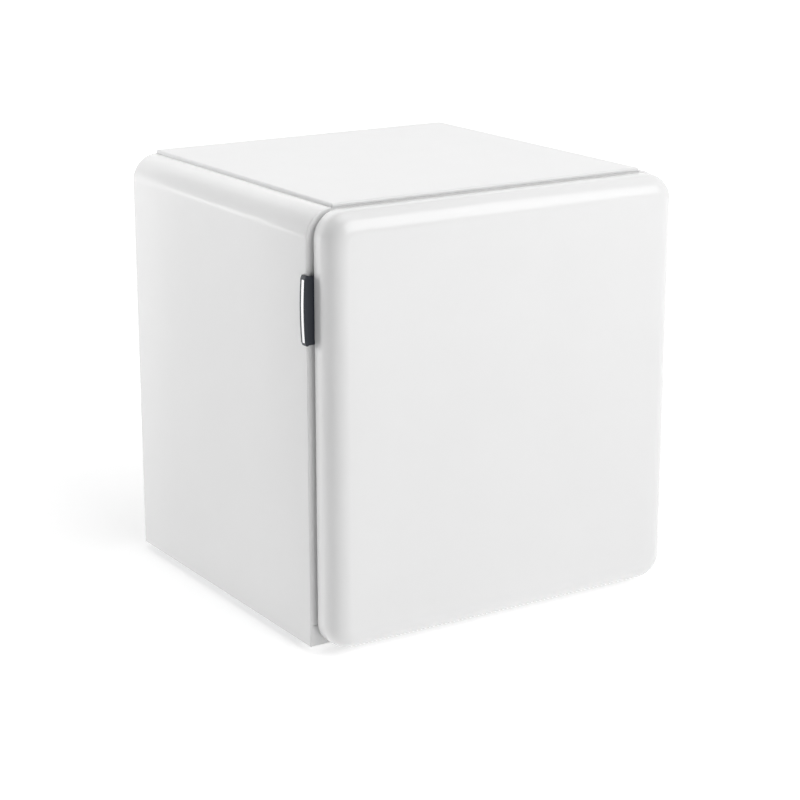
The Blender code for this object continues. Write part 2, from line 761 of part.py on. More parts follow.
def liner():
    """Moulded inner box with a front flange, a step and shelf ledges."""
    flange_back = SHEET + GAP + LINER_WALL
    reach = CAVITY_HALF + LINER_FLANGE_WIDTH
    low, high = CAVITY_FLOOR - LINER_FLANGE_BELOW, CAVITY_CEILING + LINER_FLANGE_ABOVE
    flange = rectangle(-reach, low, reach, high, LINER_FLANGE_CORNER)
    body = plate("inner_liner", [flange], "y", SHEET + GAP, flange_back, LINER_WHITE)
    join(body, cavity("liner_outside", LINER_WALL, SHEET + GAP + 0.0002))
    cut(body, cavity("liner_inside", 0.0, -0.02))
    for side in (-1, 1):
        for level, height in enumerate(LEDGE_HEIGHTS):
            wall = side * (CAVITY_HALF + LINER_WALL / 2)
            inner = side * (CAVITY_HALF - LEDGE_SIZE)
            back = (CAVITY_DEPTH if height > STEP_TOP else STEP_FRONT) - LEDGE_BACK_GAP
            low = (min(wall, inner), max(SHELF_FRONT, back - LEDGE_LENGTH), height - LEDGE_SIZE)
            high = (max(wall, inner), back, height)
            join(body, box(f"ledge_{level}", low, high, None, 0.0015, 1))
    cut(body, round_hole("liner_drain", drain_place(), DRAIN_BORE, STEP_TOP - 0.01, STEP_TOP + 0.01))
    bore = PIPE_RADIUS + RUNNING
    low, high = SUCTION_EXIT - bore, SUCTION_EXIT + bore
    window = rectangle(SUCTION_X - bore, low, capillary_x() + bore, high, 0.002, 2)
    cut(body, plate("liner_pipe_window", [window], "y", CAVITY_DEPTH - 0.005, CAVITY_DEPTH + 0.01))
    return body


def foam():
    """Insulation that fills the cabinet between its skins and the inner box."""
    front = SHEET + GAP + LINER_WALL + GAP
    outline = inner_outline(SHEET + GAP, PAN_TOP + GAP)
    block = plate("cabinet_foam", [outline], "y", front, BACK_PLANE - SHEET - GAP, FOAM)
    cut(block, cavity("foam_cavity", LINER_WALL + GAP, -0.02))
    bay = box("foam_bay", (-FAR, BAY_FRONT - SHEET - GAP, -FAR), (FAR, FAR, BAY_HEIGHT + SHEET + GAP))
    cut(block, bay)
    for side in (-1, 1):
        centre = (side * (HALF - FOOT_SIDE), FOOT_FRONT)
        cut(block, round_hole("foam_foot", centre, NUT_RADIUS + 0.001, -0.01, STUD_TOP + 0.010, 8))
    x, y = drain_place()
    cut(block, round_hole("foam_drain", (x, y), DRAIN_RADIUS + GAP, 0.15, STEP_TOP))
    reach = PIPE_RADIUS + 0.001
    near, far = pipe_plane() - reach, pipe_plane() + reach
    low, high = SUCTION_EXIT - reach, SUCTION_EXIT + reach
    duct = [(CAVITY_DEPTH - 0.01, low), (near, low), (near, BAY_HEIGHT - 0.01), (far, BAY_HEIGHT - 0.01)]
    duct += [(far, high), (CAVITY_DEPTH - 0.01, high)]
    cut(block, plate("foam_pipe_duct", [duct], "x", SUCTION_X - reach, capillary_x() + reach))
    ledge = SHOULDER_HEIGHT - GAP - SHEET - GAP
    cut(block, box("foam_top_rail", (-FAR, -FAR, ledge - 0.001), (FAR, RAIL_LIP + GAP, FAR)))
    lip = KICK_HEIGHT + SHEET + 2 * GAP
    cut(block, box("foam_bottom_rail", (-FAR, -FAR, lip - SHEET - 3 * GAP), (FAR, RAIL_LIP + GAP, lip)))
    for level in hinge_levels():
        low = (HINGE_X - HINGE_TAIL - 0.001, 0.0, level - GAP)
        cut(block, box("foam_hinge", low, (FAR, HINGE_ANCHOR + 0.003, level + HINGE_PLATE + GAP)))
    return block


# Hinges


def hinge_levels():
    """Undersides of the lower and the upper hinge plate."""
    lower = DOOR_BOTTOM + HINGE_LEVEL
    upper = DOOR_TOP - HINGE_LEVEL - HINGE_PLATE
    return (lower, upper)


def hinge_plate(name, level):
    """Flat plate anchored behind the front flange; its eye reaches into the door's edge."""
    edge = HINGE_X + HINGE_NECK
    start = HINGE_X + GAP
    anchor = SHEET + GAP + LINER_WALL + 2 * GAP
    first = math.degrees(math.acos(GAP / HINGE_EYE_RADIUS))
    eye = arc((HINGE_X, HINGE_Y), HINGE_EYE_RADIUS, first, 360.0, 12)
    outline = eye + [(edge, HINGE_Y + 0.004), (edge, anchor)]
    outline += [(HALF - 0.002, anchor), (HALF - 0.002, HINGE_ANCHOR)]
    outline += [(HINGE_X - HINGE_TAIL, HINGE_ANCHOR), (HINGE_X - HINGE_TAIL, anchor + 0.002)]
    outline += [(start, anchor + 0.002)]
    piece = plate(name, [outline], "z", level, level + HINGE_PLATE, ZINC)
    hole = round_hole(name + "_eye", (HINGE_X, HINGE_Y), PIN_RADIUS + GAP, level - 0.01, level + 0.02)
    return cut(piece, hole)


def hinge_slots(name, level, low_y, high_y):
    """Cutter for the slot that a hinge plate's neck passes through."""
    low = (HINGE_X + GAP / 3, low_y, level - SLOT_CLEARANCE)
    high = (HINGE_X + HINGE_NECK + 0.001, high_y, level + HINGE_PLATE + SLOT_CLEARANCE)
    return box(name, low, high)


def hinge_pin(name, level, direction):
    """Shouldered pin through a hinge plate; direction is +1 for up, -1 for down."""
    under = -(GAP + PIN_HEAD)
    above = HINGE_PLATE + PIN_LENGTH
    profile = [(0.0, above), (PIN_RADIUS - 0.0006, above), (PIN_RADIUS, above - 0.001), (PIN_RADIUS, -GAP)]
    profile += [(PIN_HEAD_RADIUS, -GAP), (PIN_HEAD_RADIUS, under), (0.0, under)]
    turn = None if direction > 0 else Matrix.Rotation(math.pi, 3, "X")
    start = level if direction > 0 else level + HINGE_PLATE
    pin = turned(name, profile, (HINGE_X, HINGE_Y, start), ZINC, 16, turn)
    return pin


def bush_reach():
    """How far out a bush reaches inside the door's round edge."""
    ahead = HINGE_DEPTH + BUSH_HALF_DEPTH - DOOR_GAP - DOOR_FLANK
    inner = DOOR_EDGE_RADIUS - SHEET - 3 * GAP
    return DOOR_HALF - DOOR_EDGE_RADIUS + math.sqrt(inner**2 - ahead**2)


def hinge_bush(name, level, direction):
    """Nylon block in the door's edge with the pin's blind bore."""
    near = level + HINGE_PLATE + GAP if direction > 0 else level - GAP - BUSH_HEIGHT
    low = (HINGE_X - BUSH_HALF_DEPTH, HINGE_Y - BUSH_HALF_DEPTH, near)
    high = (bush_reach(), HINGE_Y + BUSH_HALF_DEPTH, near + BUSH_HEIGHT)
    block = box(name, low, high, NYLON)
    start = near - 0.001 if direction > 0 else near + 0.0015
    end = start + BUSH_HEIGHT - 0.0005
    bore = round_hole(name + "_bore", (HINGE_X, HINGE_Y), PIN_RADIUS + GAP, start, end)
    return cut(block, bore)


# Door


def door_outline(inset, bottom=None, top=None, steps=6):
    """The door's front outline, moved inwards."""
    low = DOOR_BOTTOM + inset if bottom is None else bottom
    high = DOOR_TOP - inset if top is None else top
    radius = max(DOOR_CORNER_RADIUS - inset, 0.004)
    return rectangle(-DOOR_HALF + inset, low, DOOR_HALF - inset, high, radius, steps)


def pillow(name, inset, back, material=None, lip=None):
    """The door's outer form: straight flanks with a round edge to the front face.

    With a lip it is an open sheet with a return at the back, and otherwise a solid block.
    """
    outline = door_outline(inset)
    front = DOOR_FRONT + inset
    bm = bmesh.new()
    face = bm.faces.new([bm.verts.new((x, back, z)) for x, z in outline])
    grown = bmesh.ops.extrude_face_region(bm, geom=[face])
    moved = [v for v in grown["geom"] if isinstance(v, bmesh.types.BMVert)]
    bmesh.ops.translate(bm, verts=moved, vec=(0.0, front - back, 0.0))
    bm.normal_update()
    rim = [e for e in bm.edges if all(abs(v.co.y - front) < 0.00001 for v in e.verts)]
    radius = DOOR_EDGE_RADIUS - inset
    bmesh.ops.bevel(bm, geom=rim, offset=radius, segments=6, profile=0.5, affect="EDGES")
    bmesh.ops.recalc_face_normals(bm, faces=bm.faces)
    if lip is not None:
        rear = [f for f in bm.faces if all(abs(v.co.y - back) < 0.00001 for v in f.verts)]
        bmesh.ops.inset_region(bm, faces=rear, thickness=lip, use_even_offset=True)
        bmesh.ops.delete(bm, geom=rear, context="FACES")
    mesh = bpy.data.meshes.new(name)
    bm.to_mesh(mesh)
    bm.free()
    thing = place(name, mesh, material=material)
    if lip is not None:
        skin = thing.modifiers.new("sheet", "SOLIDIFY")
        skin.thickness = SHEET
        skin.offset = -1.0
        skin.use_even_offset = True
    return thing


def hinge_notch(name, level):
    """Cutter for the slot in the door's edge that clears a hinge plate as the door swings."""
    low = (HINGE_X - GAP, HINGE_Y - HINGE_SWING, level - SLOT_CLEARANCE)
    high = (DOOR_HALF + 0.01, DOOR_BACK + 0.01, level + HINGE_PLATE + SLOT_CLEARANCE)
    return box(name, low, high)


def door_skin():
    """Pressed door front with round edges, a return at the back and hinge slots."""
    skin = pillow("door_outer_panel", 0.0, DOOR_BACK, ENAMEL, DOOR_LIP)
    for level in hinge_levels():
        cut(skin, hinge_notch("skin_notch", level))
    smooth(skin)
    return skin


def dyke_outline(inset):
    """The raised dyke's outer outline, moved inwards."""
    half = DYKE_OUTER - inset
    radius = max(DYKE_CORNER - inset, 0.004)
    return rectangle(-half, DYKE_LOW + inset, half, DYKE_HIGH - inset, radius)


def door_liner():
    """Moulded inner door: lip, seal channel, raised dyke and storage pocket."""
    lip_top = DOOR_BACK - SHEET - GAP
    outline = door_outline(LINER_LIP_INSET)
    lip = plate("door_liner", [outline], "y", lip_top - LINER_WALL, lip_top, LINER_WHITE)
    channel = seal_outline(-LINER_WALL - GAP)
    join(lip, plate("channel_body", [channel], "y", SEAL_FLOOR - LINER_WALL, lip_top - 0.0002))
    cut(lip, plate("channel_cut", [seal_outline(-GAP)], "y", SEAL_FLOOR, 0.02))
    join(lip, plate("dyke_body", [dyke_outline(0.0)], "y", SEAL_FLOOR - LINER_WALL / 2, DYKE_REACH))
    floor = dyke_outline(DYKE_WIDTH - LINER_WALL)
    join(lip, plate("pocket_body", [floor], "y", POCKET_FLOOR - LINER_WALL, DYKE_REACH - 0.001))
    hollow = [dyke_outline(LINER_WALL), dyke_outline(DYKE_WIDTH - LINER_WALL)]
    cut(lip, plate("dyke_hollow", hollow, "y", -0.05, DYKE_REACH - LINER_WALL))
    cut(lip, plate("pocket_cut", [dyke_outline(DYKE_WIDTH)], "y", POCKET_FLOOR, 0.05))
    for level in hinge_levels():
        cut(lip, hinge_notch("liner_notch", level))
    return lip


def seal_outline(inset):
    """The seal's outer outline, moved inwards."""
    low = SEAL_BOTTOM + inset
    high = DOOR_TOP - SEAL_INSET - inset
    half = DOOR_HALF - SEAL_INSET - inset
    radius = max(DOOR_CORNER_RADIUS - SEAL_INSET - inset, 0.003)
    return rectangle(-half, low, half, high, radius, 4)


def seal():
    """Magnetic door seal: foot in the channel, narrow bellows, wide head on the flange."""

    def ring(name, outer, inner, low, high, material=None):
        return plate(name, [seal_outline(outer), seal_outline(inner)], "y", low, high, material)

    foot = ring("door_gasket", 0.0, SEAL_WIDTH, SEAL_FLOOR + GAP, SEAL_FLOOR + SEAL_FOOT, SEAL_GREY)
    inset = SEAL_BELLOWS_INSET
    low, high = SEAL_FLOOR + SEAL_FOOT - GAP, GAP + 0.0001 - SEAL_HEAD
    join(foot, ring("seal_bellows", inset, SEAL_WIDTH - inset, low, high))
    join(foot, ring("seal_head", SEAL_HEAD_INSET, SEAL_WIDTH - SEAL_HEAD_INSET, -SEAL_HEAD, -GAP))
    return foot


def door_foam():
    """Insulation inside the door."""
    block = pillow("door_foam", SHEET + GAP, SEAL_FLOOR - LINER_WALL - GAP, FOAM)
    pocket = dyke_outline(DYKE_WIDTH - LINER_WALL - GAP)
    cut(block, plate("foam_pocket", [pocket], "y", POCKET_FLOOR - LINER_WALL - GAP, 0.05))
    core = [dyke_outline(LINER_WALL + GAP), dyke_outline(DYKE_WIDTH - LINER_WALL - GAP)]
    rise = plate("foam_core", core, "y", SEAL_FLOOR - LINER_WALL - 2 * GAP, DYKE_REACH - LINER_WALL - GAP)
    join(block, rise)
    lower, upper = hinge_levels()
    for level, near in ((lower, lower + HINGE_PLATE), (upper, upper - BUSH_HEIGHT - 2 * GAP)):
        reach = BUSH_HALF_DEPTH + GAP
        low = (HINGE_X - reach, HINGE_Y - reach, min(level - 0.004, near))
        high = (HALF, HINGE_Y + reach, max(level + HINGE_PLATE + 0.004, near + BUSH_HEIGHT + 2 * GAP))
        cut(block, box("foam_bush", low, high))
        low = (HINGE_X - HINGE_EYE_RADIUS - GAP, HINGE_Y - HINGE_SWING, level - SLOT_CLEARANCE)
        cut(block, box("foam_slot", low, (HALF, 0.0, level + HINGE_PLATE + SLOT_CLEARANCE)))
    return block


def grip():
    """Side grip: a foot in the gap behind the door's edge and a bowed finger plate."""
    low, high = GRIP_CENTRE - GRIP_HEIGHT / 2, GRIP_CENTRE + GRIP_HEIGHT / 2
    inner = -HALF - GRIP_STANDOFF
    front = DOOR_BACK + GAP
    shares = [i / 8 for i in range(9)]
    rise = high - low - 2 * GRIP_CHAMFER
    edge = [(GRIP_TIP + GRIP_BOW * (1 - 4 * t * (1 - t)), low + GRIP_CHAMFER + rise * t) for t in shares]
    bow = [(x + GRIP_TRIM, z) for x, z in edge]
    shoulder = GRIP_TIP + GRIP_CHAMFER
    outline = [(shoulder, low)] + bow + [(shoulder, high), (inner, high), (inner, low)]
    body = plate("handle_grip", [outline], "y", front, front + GRIP_THICKNESS, NAVY)
    foot = rectangle(inner - 0.001, low + 0.001, -HALF + GRIP_FOOT, high - 0.001, 0.0008, 2)
    join(body, plate("grip_foot", [foot], "y", front, -0.001))
    trim_in = [(x - GAP, z) for x, z in reversed(bow)]
    trim = plate("handle_trim", [edge + trim_in], "y", front, front + GRIP_TRIM_DEPTH, CHROME)
    return body, trim


def door_bin(name, floor, height):
    """Clear bin between the dyke's sides, seated on the pocket's back."""
    half = DYKE_INNER - GAP
    low = (-half, POCKET_FLOOR + GAP, floor)
    high = (half, BIN_REACH, floor + height)
    return open_pan(name, low, high, BIN_WALL, "+z", CLEAR, BIN_CORNER, BIN_FLOOR_RADIUS)


def bottle_rail():
    """Wire guard above the lower bin, with its ends on the dyke's inner sides."""
    height = LOWER_BIN_FLOOR + LOWER_BIN_HEIGHT + BOTTLE_RAIL_LIFT
    half = DYKE_INNER - GAP
    bend = half - BOTTLE_RAIL_END
    back = POCKET_FLOOR + BOTTLE_RAIL_BACK
    front = BIN_REACH - BOTTLE_RAIL_RADIUS
    path = [(-half, back, height), (-bend, back, height), (-bend, front, height)]
    path += [(bend, front, height), (bend, back, height), (half, back, height)]
    return tube("bottle_rail", bent(path, BOTTLE_RAIL_BEND), BOTTLE_RAIL_RADIUS, CHROME)


# Ice box


def ice_box():
    """Rolled aluminium box, open to the front, hung from the ceiling by four pegs."""
    low = (ICE_LEFT, ICE_FRONT, ICE_BOTTOM)
    body = box("ice_box", low, (ICE_RIGHT, ICE_BACK, ICE_TOP), ALUMINIUM, 0.003, 2)
    inside = (ICE_LEFT + ICE_WALL, ICE_FRONT - 0.01, ICE_BOTTOM + ICE_WALL)
    outside = (ICE_RIGHT - ICE_WALL, ICE_BACK - ICE_WALL, ICE_TOP - ICE_WALL)
    cut(body, box("ice_box_inside", inside, outside))
    for x in (ICE_LEFT + HANGER_INSET_X, ICE_RIGHT - HANGER_INSET_X):
        for y in (ICE_FRONT + HANGER_INSET_Y, ICE_BACK - HANGER_INSET_Y):
            low, high = ICE_TOP - ICE_WALL / 2, CAVITY_CEILING - GAP
            join(body, round_hole("ice_peg", (x, y), HANGER_RADIUS, low, high, 10))
    return body


def ice_bezel():
    """Plastic frame on the ice box's mouth, with ears for the flap's pivots."""
    back = ICE_FRONT - GAP
    front = back - BEZEL_DEPTH
    outer = rectangle(ICE_LEFT, ICE_BOTTOM, ICE_RIGHT, ICE_TOP, 0.003, 2)
    low, high = ICE_BOTTOM + BEZEL_WIDTH, ICE_TOP - BEZEL_WIDTH
    inner = rectangle(ICE_LEFT + BEZEL_WIDTH, low, ICE_RIGHT - BEZEL_WIDTH, high, 0.004, 2)
    frame = plate("ice_box_bezel", [outer, inner], "y", front, back, NYLON)
    depth = flap_plane()
    hole_z = ICE_TOP - FLAP_PIN_DROP
    for x, inset in ((ICE_LEFT, BEND), (ICE_RIGHT - FLAP_EAR, -BEND)):
        low = (x + max(inset, 0.0), depth - 0.005, hole_z - 0.006)
        high = (x + FLAP_EAR + min(inset, 0.0), front + 0.002, hole_z + 0.005)
        join(frame, box("flap_ear", low, high, None, 0.001, 1))
        bore = arc((depth, hole_z), FLAP_PIN_RADIUS + GAP, 0.0, 330.0, 11)
        cut(frame, plate("flap_ear_bore", [bore], "x", x - 0.01, x + FLAP_EAR + 0.005))
    return frame


def flap_plane():
    """The flap's hinge line, in the middle of its thickness."""
    return ICE_FRONT - GAP - BEZEL_DEPTH - FLAP_CLEARANCE - FLAP_THICKNESS / 2


def ice_flap():
    """Flap over the ice box's mouth, hung on two pivots near its top edge."""
    depth = flap_plane()
    left = ICE_LEFT + FLAP_EAR + RUNNING
    right = ICE_RIGHT - FLAP_EAR - RUNNING
    hinge_z = ICE_TOP - FLAP_PIN_DROP
    top = hinge_z + FLAP_THICKNESS / 2
    low, high = depth - FLAP_THICKNESS / 2, depth + FLAP_THICKNESS / 2
    outline = rectangle(left, ICE_BOTTOM + 0.001, right, top, 0.002, 2)
    flap = plate("ice_box_flap", [outline], "y", low, high, CLEAR)
    tip = low - FLAP_PULL_REACH
    pull = [(low + 0.0005, ICE_BOTTOM + 0.004), (tip, ICE_BOTTOM + 0.003), (tip, ICE_BOTTOM + 0.005)]
    pull += [(low + 0.0005, ICE_BOTTOM + 0.009)]
    join(flap, plate("flap_pull", [pull], "x", ICE_MIDDLE - FLAP_PULL_HALF, ICE_MIDDLE + FLAP_PULL_HALF))
    for start, end in ((ICE_LEFT + 0.0005, left + 0.003), (right - 0.003, ICE_RIGHT - 0.0005)):
        pin = arc((depth, hinge_z), FLAP_PIN_RADIUS, 0.0, 330.0, 11)
        join(flap, plate("flap_pin", [pin], "x", start, end))
    return flap


def tray_levels():
    """Top of the drip tray's lips, and its floor."""
    top = ICE_BOTTOM - 2 * GAP - 0.001
    return top, top - TRAY_HEIGHT


def tray_span():
    """Outer sides of the drip tray's walls."""
    return ICE_LEFT + RUNNER_WALL + TRAY_LIP + 2 * RUNNING, ICE_RIGHT - RUNNER_WALL - TRAY_LIP - 2 * RUNNING


def drip_tray():
    """Shallow tray under the ice box; its lips ride in two runners."""
    top, floor = tray_levels()
    left, right = tray_span()
    front, back = ICE_FRONT - TRAY_FRONT_OVERHANG, ICE_BACK - TRAY_BACK_GAP
    low, high = (left, front, floor), (right, back, top)
    tray = open_pan("drip_tray", low, high, TRAY_WALL, "+z", CLEAR, 0.008, 0.003)
    for low_x, high_x in ((left - TRAY_LIP, left + 0.0005), (right - 0.0005, right + TRAY_LIP)):
        low, high = (low_x, front + TRAY_LIP_FRONT, top - TRAY_WALL), (high_x, back - TRAY_LIP_BACK, top)
        join(tray, box("tray_lip", low, high))
    stop = ICE_FRONT + RUNNER_STOP_BACK + TRAY_TRAVEL + GAP
    for low_x, high_x in ((left - TRAY_TOOTH, left + 0.0005), (right - 0.0005, right + TRAY_TOOTH)):
        low = (low_x, stop, top - TRAY_TOOTH_TOP - TRAY_TOOTH_HEIGHT)
        join(tray, box("tray_stop", low, (high_x, stop + TRAY_TOOTH_LENGTH, top - TRAY_TOOTH_TOP)))
    high, under, lowest = top - 0.0005, top - 0.0005 - TRAY_WALL, top - 0.005
    tip = front - TRAY_PULL_REACH
    pull = [(front + 0.0005, high), (tip, high), (tip, lowest), (tip + TRAY_WALL, lowest)]
    pull += [(tip + TRAY_WALL, under), (front + 0.0005, under)]
    handle = plate("tray_pull", [pull], "x", ICE_MIDDLE - TRAY_PULL_HALF, ICE_MIDDLE + TRAY_PULL_HALF)
    return join(tray, handle)


def tray_runner(name, side):
    """Rail under the ice box's edge that carries one lip of the drip tray."""
    top, _ = tray_levels()
    left, right = tray_span()
    edge, wall = (ICE_LEFT, left) if side < 0 else (ICE_RIGHT, right)
    high = ICE_BOTTOM - GAP
    inner = wall + side * RUNNING
    low = top - TRAY_WALL - RUNNING - RUNNER_WALL
    shelf_top = low + RUNNER_WALL
    web = edge - side * RUNNER_WALL
    profile = [(edge, high), (edge, low), (inner, low), (inner, shelf_top), (web, shelf_top), (web, high)]
    front, back = ICE_FRONT + RUNNER_INSET, ICE_BACK - RUNNER_INSET
    runner = plate(name, [profile], "y", front, back, NYLON)
    near, far = sorted((inner + side * 0.001, wall + side * RUNNER_STOP_GAP))
    corner = (near, front, low - RUNNER_STOP_DROP)
    return join(runner, box("runner_stop", corner, (far, ICE_FRONT + RUNNER_STOP_BACK, low + 0.001)))


# Thermostat


def thermostat():
    """Control box in the compartment's upper right corner, with its dial."""
    left = ICE_RIGHT + STAT_GAP
    right = left + STAT_WIDTH
    back = CAVITY_DEPTH - GAP
    front = back - STAT_DEPTH
    top = CAVITY_CEILING - GAP
    bottom = top - STAT_HEIGHT
    corners = [(front, bottom, STAT_CHIN_RADIUS), (back, bottom, 0.0), (back, top, CAVITY_CORNER + 0.002)]
    outline = rounded(corners + [(front + STAT_SLOPE, top, STAT_FRONT_RADIUS)], 0.0)
    housing = plate("thermostat_housing", [outline], "x", left, right, LINER_WHITE)
    centre = ((left + right) / 2, bottom + DIAL_RISE)
    bore = arc(centre, DIAL_SHAFT + GAP, 0.0, 330.0, 11)
    cut(housing, plate("dial_bore", [bore], "y", front - 0.01, front + DIAL_SOCKET))
    face = dial_face()
    profile = [(0.0, DIAL_DEPTH), (DIAL_RADIUS - 0.003, DIAL_DEPTH)]
    profile += [(DIAL_RADIUS - 0.0015, DIAL_DEPTH - 0.001), (DIAL_RADIUS, 0.0), (DIAL_SHAFT, 0.0)]
    profile += [(DIAL_SHAFT, -DIAL_SHAFT_LENGTH), (0.0, -DIAL_SHAFT_LENGTH)]
    turn = Matrix.Rotation(math.pi / 2, 3, "X")
    dial = turned("thermostat_dial", profile, (centre[0], face, centre[1]), NYLON, 24, turn)
    across, up = DIAL_RIDGE_HALF, DIAL_RIDGE_REACH
    low = (centre[0] - across, face - DIAL_DEPTH - across, centre[1] - up)
    high = (centre[0] + across, face - DIAL_DEPTH + across, centre[1] + up)
    return housing, join(dial, box("dial_ridge", low, high, None, 0.0008, 1))


def dial_face():
    """The dial's back, just clear of the control box's sloping front."""
    return CAVITY_DEPTH - GAP - STAT_DEPTH - 0.0006


# Shelf


def shelf():
    """Glass shelf on the middle ledges, with a trim along its front edge."""
    seat = LEDGE_HEIGHTS[SHELF_LEDGE] + GAP
    half = CAVITY_HALF - SHELF_SIDE_GAP
    front = SHELF_FRONT + SHELF_TRIM
    outline = rectangle(-half, front, half, CAVITY_DEPTH - SHELF_BACK_GAP, SHELF_CORNER, 2)
    glass = plate("shelf_glass", [outline], "z", seat, seat + SHELF_GLASS, GLASS)
    top = seat + SHELF_GLASS + GAP
    nose = front - 2 * GAP
    tuck, skin = front + SHELF_TRIM_TUCK, top + SHELF_TRIM_WALL
    profile = [(tuck, top), (tuck, skin), (SHELF_FRONT, skin)]
    profile += [(SHELF_FRONT, seat - SHELF_TRIM_DROP), (nose, seat - SHELF_TRIM_DROP), (nose, top)]
    trim = plate("shelf_trim", [profile], "x", -half + LEDGE_SIZE, half - LEDGE_SIZE, NYLON)
    return glass, trim


# Compressor bay


def bay_middle():
    """The compressor's centre along y."""
    return BAY_FRONT + COMPRESSOR_INSET


def mounting_plate():
    """Steel plate across the bottom of the machine bay, with holes for grommet bolts and feet."""
    reach = HALF - SHEET - GAP
    back = CABINET_DEPTH - SHEET - GAP
    front = BAY_FRONT + GAP
    inner = back - PLATE_THICKNESS
    profile = [(front, PAN_LIFT), (back, PAN_LIFT), (back, PLATE_UPSTAND), (inner, PLATE_UPSTAND)]
    profile += [(inner, BAY_FLOOR), (front, BAY_FLOOR)]
    piece = plate("compressor_mounting_plate", [profile], "x", -reach, reach, ZINC)
    for side in (-1, 1):
        centre = (side * (HALF - FOOT_SIDE), CABINET_DEPTH - REAR_FOOT_BACK)
        cut(piece, round_hole("rear_foot_hole", centre, PLUG_RADIUS + GAP, -0.01, 0.02, 12))
    return piece


def compressor():
    """Hermetic shell: two drawn halves with a weld flange, oval in plan, with a foot plate."""
    base = BAY_FLOOR + COMPRESSOR_LIFT
    top = base + COMPRESSOR_HEIGHT
    low = base + COMPRESSOR_SEAM - COMPRESSOR_FLANGE_HALF
    high = low + 2 * COMPRESSOR_FLANGE_HALF
    r = COMPRESSOR_RADIUS
    lid = [math.radians(d) for d in range(0, 91, 15)]
    dome = [(r * math.sin(a), top - COMPRESSOR_DOME * (1 - math.cos(a))) for a in lid]
    dome[0] = (0.0, top)
    cup = [math.radians(d) for d in range(0, 91, 18)]
    bowl = [(r * math.cos(a), base + COMPRESSOR_BOWL * (1 - math.sin(a))) for a in cup]
    bowl[-1] = (0.0, base)
    flange = [(r, high), (r + COMPRESSOR_FLANGE, high), (r + COMPRESSOR_FLANGE, low), (r, low)]
    profile = dome + flange + bowl
    thing = turned("compressor_shell", profile, (COMPRESSOR_X, bay_middle(), 0.0), BLACK, 24)
    graph = bpy.context.evaluated_depsgraph_get()
    mesh = bpy.data.meshes.new_from_object(thing.evaluated_get(graph))
    mesh.transform(Matrix.Diagonal((COMPRESSOR_STRETCH, 1.0, 1.0, 1.0)))
    thing.modifiers.clear()
    thing.data = mesh
    smooth(thing)
    return thing


def foot_plate():
    """Compressor's foot plate: it dishes under the shell and holds four grommets."""
    base = BAY_FLOOR + COMPRESSOR_LIFT
    half_x, half_y = GROMMET_SPAN_X / 2 + FOOT_PLATE_MARGIN_X, GROMMET_SPAN_Y / 2 + FOOT_PLATE_MARGIN_Y
    x, y = COMPRESSOR_X, bay_middle()
    outline = rectangle(x - half_x, y - half_y, x + half_x, y + half_y, FOOT_PLATE_CORNER)
    piece = plate("compressor_foot_plate", [outline], "z", base - GAP - FOOT_PLATE, base - GAP, BLACK)
    for place_xy in grommet_places():
        cut(piece, round_hole("grommet_hole", place_xy, GROMMET_WAIST, base - 0.02, base + 0.02, 12))
    return piece


def grommet_places():
    return [
        (COMPRESSOR_X + sx * GROMMET_SPAN_X / 2, bay_middle() + sy * GROMMET_SPAN_Y / 2)
        for sx in (-1, 1)
        for sy in (-1, 1)
    ]


def grommet(name, centre):
    """Rubber mount with a waist that grips the foot plate."""
    base = BAY_FLOOR + GAP
    plate_low = BAY_FLOOR + COMPRESSOR_LIFT - GAP - FOOT_PLATE
    plate_high = plate_low + FOOT_PLATE
    waist = GROMMET_WAIST - GAP
    top = plate_high + GROMMET_TOP
    b = GROMMET_BORE
    r = GROMMET_RADIUS
    cap = GROMMET_TOP_RADIUS
    profile = [(b, top), (cap, top), (cap, plate_high + GAP), (waist, plate_high + GAP)]
    profile += [(waist, plate_low - GAP), (r, plate_low - GAP), (r, base), (b, base), (b, top)]
    return turned(name, profile, (*centre, 0.0), RUBBER, 12)


def terminal_cover():
    """Plastic cover of the starting relay on the shell's side, with a cord entry."""
    x = COMPRESSOR_X + (COMPRESSOR_RADIUS + COMPRESSOR_FLANGE) * COMPRESSOR_STRETCH + GAP
    y = bay_middle()
    low = (x, y - RELAY_HALF_WIDTH, BAY_FLOOR + RELAY_LIFT)
    high = (x + RELAY_DEPTH, y + RELAY_HALF_WIDTH, BAY_FLOOR + RELAY_LIFT + RELAY_HEIGHT)
    cover = box("relay_cover", low, high, BLACK, RELAY_ROUNDING, 3)
    bore = arc((y + CORD_ENTRY_SIDE, low[2] + CORD_ENTRY_RISE), CORD_ENTRY_RADIUS, 0.0, 330.0, 11)
    return cut(cover, plate("cord_entry", [bore], "x", high[0] - CORD_ENTRY_DEPTH, high[0] + 0.01))


def evaporation_tray():
    """Tray on top of the compressor that catches and dries the melt water."""
    top = BAY_FLOOR + COMPRESSOR_LIFT + COMPRESSOR_HEIGHT + GAP
    low = (COMPRESSOR_X - EVAPORATION_HALF_X, bay_middle() - EVAPORATION_HALF_Y, top)
    high = (COMPRESSOR_X + EVAPORATION_HALF_X, bay_middle() + EVAPORATION_HALF_Y, top + EVAPORATION_HEIGHT)
    return open_pan("evaporation_tray", low, high, EVAPORATION_WALL, "+z", GREY_PLASTIC, 0.010, 0.003)


def drain_tube():
    """Pipe from the compartment's gutter down to the evaporation tray."""
    top = STEP_TOP - LINER_WALL - GAP
    bottom = BAY_HEIGHT - DRAIN_DROP
    bore = DRAIN_BORE
    profile = [(bore, top), (DRAIN_RADIUS, top), (DRAIN_RADIUS, bottom), (bore, bottom), (bore, top)]
    return turned("drain_tube", profile, (*drain_place(), 0.0), GREY_PLASTIC, 16)


# Refrigerant circuit


def coil_plane():
    return BACK_PLANE + COIL_BACKSET


